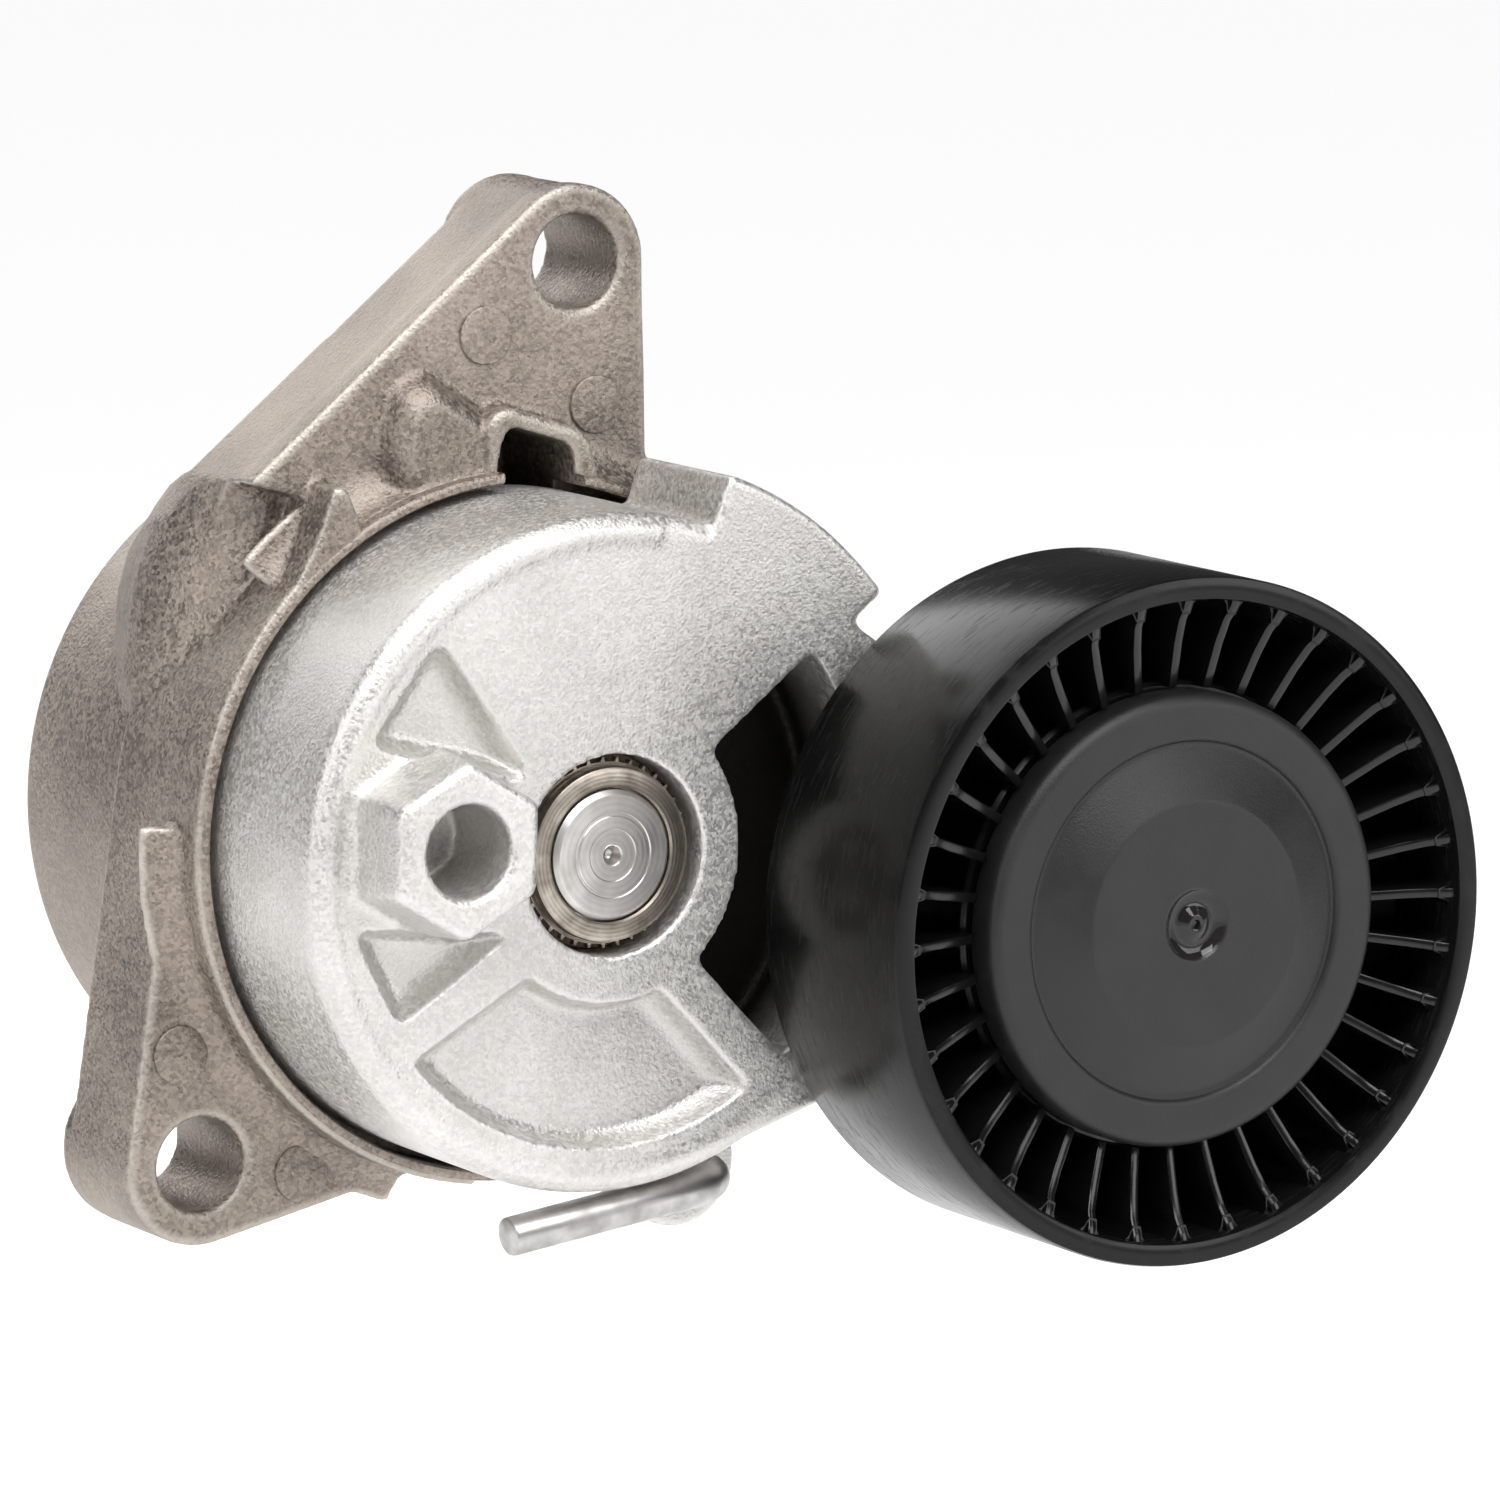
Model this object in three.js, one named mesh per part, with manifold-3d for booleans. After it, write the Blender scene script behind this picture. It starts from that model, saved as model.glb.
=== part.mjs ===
// Automatic belt tensioner with a smooth idler pulley.
// Millimetres, +Z up. The pivot shaft lies along Y, the pulley faces -Y, and
// the origin is the centre of the pivot shaft's rear end face.
import * as THREE from 'three';
import { mergeVertices } from 'three/addons/utils/BufferGeometryUtils.js';
import Module from 'manifold-3d';

const wasm = await Module();
wasm.setup();

const DEG = Math.PI / 180;

// Pulley, arm and pivot: the driving sizes.
const PULLEY_R = 35;
const PULLEY_FRONT = -88;
const PULLEY_WIDTH = 25.2;
const PULLEY_X = 50.7;
const PULLEY_Z = -7.25;
const ARM_FACE = -60.1;
const DRUM_R = 34.4;
const DRUM_REAR = -34.1;
const CUP_R = 36.4;
const CUP_REAR = 0;

// Base casting: depths along Y and the two ears.
const RIM_FRONT = -41;
const PLATE_FRONT = -35.5;
const PARTING = -32;
const PLATE_REAR = -22;
const EAR_REAR = -20.2;
const EAR_HOLE_R = 4.85;
const UPPER_EAR = { x: 10, z: 56.7, r: 7.9 };
const LOWER_EAR = { x: -33.8, z: -32.3, r: 8.3 };
const UPPER_EDGE_ANGLE = 128.7;
const LOWER_LEFT_ANGLE = 170.6;
const LOWER_FOOT_ANGLE = 282.2;

// Pivot parts.
const SHAFT_R = 8.2;
const SHAFT_NOSE_R = 6.6;
const BUSH_R = 9.95;
const HUB_R = 13.4;
const COUNTERBORE_R = 10.2;
const CAVITY_R = 32.3;
const DRUM_BORE_R = 31.3;

// Wrench boss on the arm.
const HEX = { x: -21, z: 3.4, r: 8.8, rootR: 9.8, front: -68.5, turn: -2 };
const HEX_HOLE_R = 4.7;

// Lock pin and the lugs it passes through.
const PIN_X = 15.8;
const PIN_Z = -35.5;
const PIN_R = 2;
const LUG_R = 6.7;

// Bearing: bore, race and ball sizes of a 17 x 40 x 12 ball bearing.
const BEARING_FRONT = PULLEY_FRONT + 6.6;
const BEARING_WIDTH = 12;
const BEARING_REAR = BEARING_FRONT + BEARING_WIDTH;
const BEARING_BORE_R = 8.55;
const BEARING_OUTER_R = 20;
const BALL_COUNT = 8;
const BALL_R = 3.3;
const BALL_CIRCLE_R = 14.2;
const GROOVE_R = 3.45;
const RIB_COUNT = 36;

// Facets around the large, middle and small round parts.
const LARGE = 64;
const MIDDLE = 36;
const SMALL = 32;
const HOLE = 20;

const COLOURS = {
  castBase: [0x9d948a, 0.55, 0.85],
  castArm: [0xd4d2ce, 0.5, 0.85],
  steel: [0xb9b7b3, 0.3, 1.0],
  darkSteel: [0x77726c, 0.45, 0.95],
  spring: [0x3c3b3a, 0.5, 0.9],
  nylon: [0x17171a, 0.35, 0.0],
  cap: [0x242426, 0.6, 0.0],
  bushing: [0x5b4a35, 0.6, 0.1],
  seal: [0x1c1c1e, 0.8, 0.0],
};

const group = new THREE.Group();

// ---- helpers ---------------------------------------------------------------

/** Adds one named mesh with its own material. */
function addPiece(name, geometry, colour) {
  const [hex, roughness, metalness] = COLOURS[colour];
  const material = new THREE.MeshStandardMaterial({ color: hex, roughness, metalness });
  const mesh = new THREE.Mesh(geometry, material);
  mesh.name = name;
  group.add(mesh);
  return mesh;
}

/** Turns a closed geometry into a manifold solid. */
function solid(geometry) {
  const plain = geometry.clone();
  plain.deleteAttribute('normal');
  plain.deleteAttribute('uv');
  const merged = mergeVertices(plain, 1e-4);
  return new wasm.Manifold(new wasm.Mesh({
    numProp: 3,
    vertProperties: new Float32Array(merged.attributes.position.array),
    triVerts: new Uint32Array(merged.index.array),
  }));
}

/** Turns a manifold solid back into a geometry. */
function geometryOf(body) {
  const mesh = body.getMesh();
  const geometry = new THREE.BufferGeometry();
  geometry.setAttribute('position', new THREE.BufferAttribute(mesh.vertProperties, 3));
  geometry.setIndex(new THREE.BufferAttribute(mesh.triVerts, 1));
  return geometry;
}

function joined(bodies) {
  return bodies.reduce((sum, body) => sum.add(body));
}

function cutFrom(body, tools) {
  return tools.reduce((rest, tool) => rest.subtract(tool), body);
}

/** Revolves a closed [radius, y] profile around the Y axis, then moves it to x, z. */
function turned(profile, segments, x = 0, z = 0) {
  const points = [...profile, profile[0]].map(([r, y]) => new THREE.Vector2(r, y));
  const geometry = new THREE.LatheGeometry(points, segments);
  if (signedVolume(geometry) < 0) {
    geometry.index.array.reverse();
  }
  geometry.translate(x, 0, z);
  return geometry;
}

function signedVolume(geometry) {
  const position = geometry.attributes.position;
  const index = geometry.index.array;
  const corners = [new THREE.Vector3(), new THREE.Vector3(), new THREE.Vector3()];
  let volume = 0;
  for (let i = 0; i < index.length; i += 3) {
    corners.forEach((corner, k) => corner.fromBufferAttribute(position, index[i + k]));
    volume += corners[0].dot(corners[1].clone().cross(corners[2]));
  }
  return volume / 6;
}

/** A plain ring between two radii and two depths. */
function ring(innerR, outerR, front, rear, segments, x = 0, z = 0) {
  return turned([[innerR, front], [outerR, front], [outerR, rear], [innerR, rear]], segments, x, z);
}

/** A plain disc, or a cone where the rear radius differs. */
function disc(frontR, front, rear, segments, x = 0, z = 0, rearR = frontR) {
  const geometry = new THREE.CylinderGeometry(rearR, frontR, rear - front, segments);
  geometry.translate(x, (front + rear) / 2, z);
  return geometry;
}

/** Extrudes an outline drawn in X and Z between two depths along Y. */
function plate(shape, front, rear, curveSegments = 8) {
  const geometry = new THREE.ExtrudeGeometry(shape, {
    depth: rear - front,
    bevelEnabled: false,
    curveSegments,
  });
  geometry.rotateX(Math.PI / 2);
  geometry.translate(0, rear, 0);
  return geometry;
}

/** A plate whose rear end is drawn in towards the pivot's axis. */
function taperedPlate(shape, front, rear, rearScale) {
  const geometry = plate(shape, front, rear);
  const position = geometry.attributes.position;
  for (let i = 0; i < position.count; i += 1) {
    if (position.getY(i) > (front + rear) / 2) {
      position.setX(i, position.getX(i) * rearScale);
      position.setZ(i, position.getZ(i) * rearScale);
    }
  }
  return geometry;
}

function outline(points) {
  return new THREE.Shape(points.map(([x, z]) => new THREE.Vector2(x, z)));
}

function polar(radius, degrees, x = 0, z = 0) {
  return [x + radius * Math.cos(degrees * DEG), z + radius * Math.sin(degrees * DEG)];
}

/** A sector between two radii and two angles, in degrees. */
function sector(innerR, outerR, fromDeg, toDeg) {
  const shape = new THREE.Shape();
  shape.moveTo(...polar(innerR, fromDeg));
  shape.lineTo(...polar(outerR, fromDeg));
  shape.absarc(0, 0, outerR, fromDeg * DEG, toDeg * DEG, false);
  shape.lineTo(...polar(innerR, toDeg));
  shape.absarc(0, 0, innerR, toDeg * DEG, fromDeg * DEG, true);
  return shape;
}

// ---- base casting ----------------------------------------------------------

/** Upper web with its ear, from the slanted left edge to the straight right edge. */
function upperWebShape() {
  const { x, z, r } = UPPER_EAR;
  const shape = new THREE.Shape();
  shape.moveTo(-27.7, 36.4);
  shape.lineTo(...polar(r, UPPER_EDGE_ANGLE, x, z));
  shape.absarc(x, z, r, UPPER_EDGE_ANGLE * DEG, 0, true);
  shape.lineTo(18.4, 26);
  shape.lineTo(0, 16);
  shape.lineTo(-16, 26);
  shape.lineTo(-20.6, 34.4);
  return shape;
}

/** The web's blend into the cup, behind the parting line. */
function webBlendShape() {
  const shape = new THREE.Shape();
  shape.moveTo(-27.7, 36.4);
  shape.lineTo(-8, 44);
  shape.lineTo(-6, 20);
  shape.lineTo(...polar(30, 146));
  shape.lineTo(...polar(CUP_R - 0.3, 147));
  shape.quadraticCurveTo(-26.6, 28.5, -27.7, 36.4);
  return shape;
}

/** Lower web with its ear, tangent to the cup on its left side. */
function lowerWebShape() {
  const { x, z, r } = LOWER_EAR;
  const shape = new THREE.Shape();
  shape.moveTo(...polar(CUP_R - 0.05, LOWER_LEFT_ANGLE));
  shape.lineTo(...polar(r, LOWER_LEFT_ANGLE, x, z));
  shape.absarc(x, z, r, LOWER_LEFT_ANGLE * DEG, LOWER_FOOT_ANGLE * DEG, false);
  shape.lineTo(-4, -34.3);
  shape.lineTo(-4, -22);
  shape.lineTo(-24, 0);
  return shape;
}

function baseHousing() {
  const webs = [upperWebShape(), lowerWebShape()];
  const webPlates = webs.map((shape) => solid(plate(shape, PLATE_FRONT, PLATE_REAR)));
  const cup = solid(turned([
    [0, RIM_FRONT], [CUP_R - 0.6, RIM_FRONT], [CUP_R, RIM_FRONT + 0.6], [CUP_R, PLATE_REAR],
    [CUP_R - 0.4, CUP_REAR - 1.4], [CUP_R - 1.8, CUP_REAR], [0, CUP_REAR],
  ], LARGE));
  const cove = solid(turned([
    [CUP_R - 1, PLATE_FRONT - 3.6], [CUP_R, PLATE_FRONT - 3.6], [CUP_R + 1, PLATE_FRONT - 1.2],
    [CUP_R + 3.8, PLATE_FRONT], [CUP_R + 3.8, PLATE_FRONT + 1], [CUP_R - 1, PLATE_FRONT + 1],
  ], LARGE));
  const coveZones = webs.map((shape) => solid(plate(shape, RIM_FRONT + 1, PLATE_FRONT + 2)));
  const bosses = [UPPER_EAR, LOWER_EAR].map((ear) => (
    solid(disc(ear.r, PLATE_REAR - 1, EAR_REAR, HOLE + 8, ear.x, ear.z))
  ));
  const horn = solid(plate(outline([
    [-25.0, 26.4], [-18.4, 28.2], [-17.3, 30.9], [-19.4, 36.2], [-20.7, 36.2], [-22.2, 32.2],
  ]), RIM_FRONT, PARTING + 1));
  const snout = solid(plate(outline([
    [-3.7, 28], [9, 28], [9.2, 36.9], [8.0, 38.9], [-1.4, 41.9], [-2.9, 40.9], [-3.7, 36.7],
  ]), RIM_FRONT + 1.5, PLATE_FRONT + 1));
  const bulge = new THREE.ExtrudeGeometry(outline([
    [-3.2, RIM_FRONT + 1.9], [-1, RIM_FRONT + 1.9], [-1, PLATE_FRONT + 1],
    [-12.2, PLATE_FRONT + 1], [-12.2, PLATE_FRONT - 0.1], [-8, PLATE_FRONT - 1.8],
  ]), { depth: 10.2, bevelEnabled: false });
  bulge.translate(0, 0, 33.4);
  const pinLug = solid(plate(outline([
    [5, -30], [PIN_X - LUG_R + 1, PIN_Z], [PIN_X - 3.4, PIN_Z - 4.6], [PIN_X + 3.4, PIN_Z - 4.6],
    [PIN_X + LUG_R - 1, PIN_Z], [24, -22], [14, -22],
  ]), PLATE_FRONT, PLATE_FRONT + 6));
  const gusset = outline([[-27.7, 36.4], [-12, 48.9], [-8, 30], [-24.9, 16.8], [-27.3, 28]]);
  const bands = [[148, 171, PLATE_REAR], [118, 150, PARTING]].map(([from, to, rear]) => (
    solid(plate(sector(CUP_R - 0.6, CUP_R + 0.4, from, to), RIM_FRONT + 0.2, rear, 5))
  ));
  const body = joined([
    cup, ...bands, ...webPlates, solid(plate(webBlendShape(), PARTING, PLATE_REAR)),
    solid(taperedPlate(gusset, PLATE_REAR - 0.5, -10, 0.72)),
    ...coveZones.map((zone) => zone.intersect(cove)), ...bosses, horn, snout, solid(bulge), pinLug,
  ]);
  const cavity = solid(turned([
    [12.5, -32.5], [12.5, -3], [CAVITY_R, -3], [CAVITY_R, -33.5], [CUP_R - 1.1, -33.5],
    [CUP_R - 1.1, RIM_FRONT - 1], [0, RIM_FRONT - 1], [0, -32.5],
  ], LARGE));
  const holes = [UPPER_EAR, LOWER_EAR].flatMap(({ x, z }) => [
    solid(disc(EAR_HOLE_R, PLATE_FRONT - 1, EAR_REAR + 1, HOLE + 4, x, z)),
    solid(disc(EAR_HOLE_R + 1.1, PLATE_FRONT - 0.6, PLATE_FRONT + 0.6, HOLE + 4, x, z, EAR_HOLE_R)),
  ]);
  const socket = solid(plate(outline([
    [-1.9, 26], [7.0, 26], [7.2, 36.4], [6.6, 37.4], [-0.6, 39.7], [-1.3, 39.2], [-1.9, 36.4],
  ]), RIM_FRONT, -24));
  const shaftBore = solid(disc(SHAFT_R + 0.1, -34, CUP_REAR + 1, SMALL));
  const pinHole = solid(disc(2.6, PLATE_FRONT - 1, PLATE_FRONT + 7, 12, PIN_X, PIN_Z));
  return cutFrom(body, [cavity, ...holes, socket, shaftBore, pinHole]);
}

// ---- tensioner arm ---------------------------------------------------------

function tensionerArm() {
  const drum = solid(turned([
    [0, ARM_FACE], [DRUM_R - 1.5, ARM_FACE], [DRUM_R - 0.45, ARM_FACE + 0.45],
    [DRUM_R, ARM_FACE + 1.6], [DRUM_R, DRUM_REAR], [0, DRUM_REAR],
  ], LARGE));
  const block = solid(plate(sector(28, 39.7, 37.4, 70), ARM_FACE, -41.6, 6));
  const neckShape = outline([
    [24, 24], [28.4, 22.6], [28.6, 21], [32, 18.6], polar(11.6, 52, PULLEY_X, PULLEY_Z),
    polar(11.6, 25, PULLEY_X, PULLEY_Z), polar(11.6, 0, PULLEY_X, PULLEY_Z),
    polar(11.6, -25, PULLEY_X, PULLEY_Z), polar(11.6, -50, PULLEY_X, PULLEY_Z),
    polar(11.6, -71.5, PULLEY_X, PULLEY_Z), polar(33.6, -71.5), [8, -22], [10, 10],
  ]);
  const neck = solid(plate(neckShape, ARM_FACE, -46));
  const hexBoss = new THREE.CylinderGeometry(HEX.rootR, HEX.r, ARM_FACE + 1 - HEX.front, 6);
  hexBoss.rotateY((90 - HEX.turn) * DEG);
  hexBoss.translate(HEX.x, (ARM_FACE + 1 + HEX.front) / 2, HEX.z);
  const lug = solid(plate(lugShape(), -45.8, -41.6));
  const boss = solid(disc(11.6, BEARING_REAR + 1.8, ARM_FACE + 1, MIDDLE, PULLEY_X, PULLEY_Z));
  const spigot = solid(disc(8.4, BEARING_FRONT + 0.6, ARM_FACE, SMALL, PULLEY_X, PULLEY_Z));

  const interior = solid(turned([
    [HUB_R, -53.2], [DRUM_BORE_R, -53.2], [DRUM_BORE_R, DRUM_REAR + 1], [HUB_R, DRUM_REAR + 1],
  ], LARGE));
  const pocketBox = solid(plate(sector(HUB_R - 1, DRUM_BORE_R + 1, 308, 402), -53.4, -45.4, 8));
  const neckHollow = solid(plate(outline([
    [36.2, 9], [41, 3.5], [41, -13], [37.5, -17],
  ]), -57, -45));
  const casting = joined([drum, block, neck.subtract(neckHollow), lug, solid(hexBoss), boss, spigot]);
  const body = casting.subtract(interior.subtract(pocketBox));

  const deepPocket = solid(plate(sector(14, 30, 311, 399.5), ARM_FACE - 1, -48.4, 8));
  const shallow = [[131, 151.5, 15], [190, 210, 15], [219.5, 300, 13.8]].map(([from, to, inner]) => (
    solid(plate(sector(inner, 30, from, to), ARM_FACE - 1, ARM_FACE + 3, 7))
  ));
  const hexKeep = new THREE.CylinderGeometry(HEX.rootR, HEX.rootR, 6, 6);
  hexKeep.rotateY((90 - HEX.turn) * DEG);
  hexKeep.translate(HEX.x, ARM_FACE + 2, HEX.z);
  const pockets = joined(shallow).subtract(solid(hexKeep));
  const bores = [
    solid(disc(COUNTERBORE_R, ARM_FACE - 1, -56.4, SMALL)),
    solid(disc(BUSH_R + 0.1, -57, DRUM_REAR + 1, SMALL)),
    solid(disc(HEX_HOLE_R, HEX.front - 1, ARM_FACE + 3, HOLE, HEX.x, HEX.z)),
    solid(disc(2.3, -47, -40, 12, PIN_X, PIN_Z)),
    solid(disc(5.2, BEARING_FRONT, -44, HOLE, PULLEY_X, PULLEY_Z)),
  ];
  return cutFrom(body, [deepPocket, pockets, ...bores]);
}

/** Round lug under the drum that carries the lock pin. */
function lugShape() {
  const shape = new THREE.Shape();
  shape.moveTo(-1, -32.5);
  shape.lineTo(2.5, -34.6);
  shape.lineTo(...polar(LUG_R, 236, PIN_X, PIN_Z));
  shape.absarc(PIN_X, PIN_Z, LUG_R, 236 * DEG, 372 * DEG, false);
  shape.lineTo(22, -23.6);
  shape.lineTo(18, -23.6);
  return shape;
}

// ---- pulley ----------------------------------------------------------------

function pulleyWheel() {
  const front = PULLEY_FRONT;
  const rear = PULLEY_FRONT + PULLEY_WIDTH;
  const rimIn = PULLEY_R - 2.4;
  const rim = solid(turned([
    [rimIn, front + 0.25], [rimIn + 0.3, front], [PULLEY_R - 0.55, front], [PULLEY_R, front + 0.55],
    [PULLEY_R, rear - 0.55], [PULLEY_R - 0.55, rear], [rimIn, rear],
  ], 2 * RIB_COUNT));
  const web = solid(ring(23, rimIn + 0.5, front + 11.2, front + 14, 2 * RIB_COUNT));
  const hub = solid(ring(BEARING_OUTER_R + 0.12, 23.8, front + 5.6, front + 20.5, RIB_COUNT));
  const ribs = [];
  for (let i = 0; i < RIB_COUNT; i += 1) {
    const rib = new THREE.ExtrudeGeometry(outline([
      [23.4, front + 6], [rimIn + 0.4, front + 1.4], [rimIn + 0.4, rear - 1.4], [23.4, rear - 5],
    ]), { depth: 1, bevelEnabled: false });
    rib.translate(0, 0, -0.5);
    rib.rotateY((i + 0.25) * 360 / RIB_COUNT * DEG);
    ribs.push(solid(rib));
  }
  return joined([rim, web, hub, ...ribs]).subtract(
    solid(disc(BEARING_OUTER_R + 0.12, front, rear, RIB_COUNT)),
  );
}

function dustCap() {
  const top = PULLEY_FRONT;
  return turned([
    [0, top - 0.7], [12.7, top - 0.7], [18.1, top + 1.75], [18.5, top + 1.4], [21.9, top + 1.2],
    [22.8, top + 1.6], [23.1, top + 2.5], [23.1, top + 4.9], [21.4, top + 4.9], [20.9, top + 3.2],
    [17.6, top + 3.3], [12.2, top + 1], [0, top + 0.9],
  ], 2 * HOLE);
}

function bearingRing(shoulderR, boreR) {
  const middle = BEARING_FRONT + BEARING_WIDTH / 2;
  const side = Math.sign(shoulderR - BALL_CIRCLE_R);
  const reach = Math.abs(shoulderR - BALL_CIRCLE_R) / GROOVE_R;
  const half = Math.acos(reach);
  const points = [[boreR, BEARING_FRONT], [shoulderR, BEARING_FRONT]];
  const steps = 4;
  for (let i = 0; i <= steps; i += 1) {
    const angle = -half + (2 * half * i) / steps;
    points.push([
      BALL_CIRCLE_R + side * GROOVE_R * Math.cos(angle),
      middle + GROOVE_R * Math.sin(angle),
    ]);
  }
  points.push([shoulderR, BEARING_REAR], [boreR, BEARING_REAR]);
  return turned(points, MIDDLE);
}

function bearingCage() {
  const middle = BEARING_FRONT + BEARING_WIDTH / 2;
  const body = solid(ring(13.2, 15.2, middle - 1.7, BEARING_REAR - 1.2, SMALL));
  const pockets = [];
  for (let i = 0; i < BALL_COUNT; i += 1) {
    const [x, z] = polar(BALL_CIRCLE_R, i * 360 / BALL_COUNT);
    const pocket = new THREE.SphereGeometry(BALL_R + 0.3, 12, 6);
    pocket.translate(x, middle, z);
    pockets.push(solid(pocket));
  }
  return cutFrom(body, pockets);
}

// ---- spring and pin --------------------------------------------------------

class Helix extends THREE.Curve {
  constructor(radius, front, rear, turns) {
    super();
    Object.assign(this, { radius, front, rear, turns });
  }

  getPoint(t, target = new THREE.Vector3()) {
    const angle = t * this.turns * 2 * Math.PI;
    const y = this.front + (this.rear - this.front) * t;
    return target.set(this.radius * Math.cos(angle), y, this.radius * Math.sin(angle));
  }
}

function roundSection(radius, sides) {
  const points = [];
  for (let i = 0; i < sides; i += 1) {
    points.push(polar(radius, (i * 360) / sides));
  }
  return outline(points);
}

function torsionSpring() {
  const path = new Helix(25.4, -40.6, -7.8, 5.25);
  return new THREE.ExtrudeGeometry(roundSection(2.2, 6), {
    steps: 68,
    bevelEnabled: false,
    extrudePath: path,
  });
}

function lockPin() {
  const bend = 4.4;
  const legY = -55.2;
  const end = new THREE.Vector3(-10.3, legY - 1.2, -38.4);
  const corner = new THREE.Vector3(PIN_X, legY, PIN_Z);
  const along = end.clone().sub(corner).normalize();
  const path = new THREE.CurvePath();
  path.add(new THREE.LineCurve3(end, corner.clone().addScaledVector(along, bend)));
  path.add(new THREE.QuadraticBezierCurve3(
    corner.clone().addScaledVector(along, bend),
    corner,
    corner.clone().add(new THREE.Vector3(0, bend, 0)),
  ));
  path.add(new THREE.LineCurve3(
    corner.clone().add(new THREE.Vector3(0, bend, 0)),
    new THREE.Vector3(PIN_X, PLATE_FRONT - 0.6, PIN_Z),
  ));
  return new THREE.ExtrudeGeometry(roundSection(PIN_R, 10), {
    steps: 20,
    bevelEnabled: false,
    extrudePath: path,
  });
}

// ---- assembly --------------------------------------------------------------

addPiece('base_housing', geometryOf(baseHousing()), 'castBase');
addPiece('pivot_shaft', turned([
  [0, -59.8], [SHAFT_NOSE_R - 0.4, -59.8], [SHAFT_NOSE_R, -59.4], [SHAFT_NOSE_R, -57.9],
  [SHAFT_R, -57.9], [SHAFT_R, CUP_REAR], [0, CUP_REAR],
], SMALL), 'steel');
addPiece('front_thrust_washer', turned([
  [6.85, -59.5], [8.5, -59.5], [8.9, -59.1], [8.9, -58.2], [6.85, -58.2],
], SMALL), 'darkSteel');
addPiece('serrated_lock_ring', ring(8.4, 9.7, -57.9, -57, SMALL), 'darkSteel');
addPiece('pivot_bush', ring(SHAFT_R + 0.07, BUSH_R, -56.1, -34.9, SMALL), 'bushing');
addPiece('rear_thrust_washer', ring(SHAFT_R + 0.3, 12.3, -33.8, -32.8, SMALL), 'bushing');
addPiece('torsion_spring', torsionSpring(), 'spring');
addPiece('damper_sleeve', ring(29.2, 30.9, -43, -14, MIDDLE), 'nylon');
addPiece('front_spring_seat', ring(14.2, 28.6, -45.1, -43.6, MIDDLE), 'nylon');
addPiece('rear_spring_seat', ring(13, 30, -5.2, -3.3, MIDDLE), 'nylon');
addPiece('tensioner_arm', geometryOf(tensionerArm()), 'castArm');
addPiece('lock_pin', lockPin(), 'steel');

const middle = BEARING_FRONT + BEARING_WIDTH / 2;
const pulley = new THREE.Group();
pulley.position.set(PULLEY_X, 0, PULLEY_Z);
group.add(pulley);
[
  ['pulley_wheel', geometryOf(pulleyWheel()), 'nylon'],
  ['dust_cap', dustCap(), 'cap'],
  ['pulley_bolt', turned([
    [0, BEARING_FRONT - 5], [7, BEARING_FRONT - 5], [7.4, BEARING_FRONT - 4.6],
    [7.4, BEARING_FRONT - 1.8], [10.8, BEARING_FRONT - 1.6], [10.8, BEARING_FRONT - 0.2],
    [5, BEARING_FRONT - 0.2], [5, -47], [0, -47],
  ], SMALL), 'steel'],
  ['bearing_inner_ring', bearingRing(12, BEARING_BORE_R), 'steel'],
  ['bearing_outer_ring', bearingRing(16.4, BEARING_OUTER_R), 'steel'],
  ['bearing_cage', geometryOf(bearingCage()), 'bushing'],
  ['bearing_front_seal', ring(12.2, 16.2, BEARING_FRONT + 0.3, BEARING_FRONT + 0.9, MIDDLE), 'seal'],
  ['bearing_rear_seal', ring(12.2, 16.2, BEARING_REAR - 0.9, BEARING_REAR - 0.3, MIDDLE), 'seal'],
  ['rear_dust_shield', turned([
    [8.6, BEARING_REAR + 0.3], [12, BEARING_REAR + 0.3], [16.6, BEARING_REAR + 0.9],
    [16.6, BEARING_REAR + 1.6], [8.6, BEARING_REAR + 1.5],
  ], SMALL), 'darkSteel'],
].forEach(([name, geometry, colour]) => pulley.add(addPiece(name, geometry, colour)));

for (let i = 0; i < BALL_COUNT; i += 1) {
  const ball = addPiece(`bearing_ball_${i + 1}`, new THREE.SphereGeometry(BALL_R, 10, 6), 'steel');
  const [x, z] = polar(BALL_CIRCLE_R, i * 360 / BALL_COUNT);
  ball.position.set(x, middle, z);
  pulley.add(ball);
}

export default group;
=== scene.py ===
"""Automatic belt tensioner with a smooth idler pulley, dressed for rendering.

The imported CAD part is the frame. Each class below models one sub-assembly in
millimetres and hands over finished objects in metres, in the frame's own axes:
the pivot lies along Y, the pulley faces -Y and the origin is the rear end of
the pivot shaft.
"""

import logging
import math
from dataclasses import dataclass
from enum import Enum
from typing import Callable, Iterable, Optional, Sequence

import bmesh
import bpy
import numpy as np
from mathutils import Matrix, Vector


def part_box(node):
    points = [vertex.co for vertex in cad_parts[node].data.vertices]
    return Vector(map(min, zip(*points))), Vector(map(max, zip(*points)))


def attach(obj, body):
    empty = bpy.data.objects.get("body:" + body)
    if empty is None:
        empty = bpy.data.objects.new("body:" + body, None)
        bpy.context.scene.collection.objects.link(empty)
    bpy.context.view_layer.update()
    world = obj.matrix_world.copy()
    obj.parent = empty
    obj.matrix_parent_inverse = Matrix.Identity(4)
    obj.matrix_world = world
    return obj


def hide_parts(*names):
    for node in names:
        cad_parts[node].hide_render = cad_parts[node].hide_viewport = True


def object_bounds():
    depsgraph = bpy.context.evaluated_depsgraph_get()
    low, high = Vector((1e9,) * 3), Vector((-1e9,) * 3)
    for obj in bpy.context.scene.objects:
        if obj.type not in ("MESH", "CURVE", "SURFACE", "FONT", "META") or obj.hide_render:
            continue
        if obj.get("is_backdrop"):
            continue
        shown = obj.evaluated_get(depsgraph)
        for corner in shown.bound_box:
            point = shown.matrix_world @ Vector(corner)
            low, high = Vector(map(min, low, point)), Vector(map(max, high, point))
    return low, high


LOG = logging.getLogger("tensioner")
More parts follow.
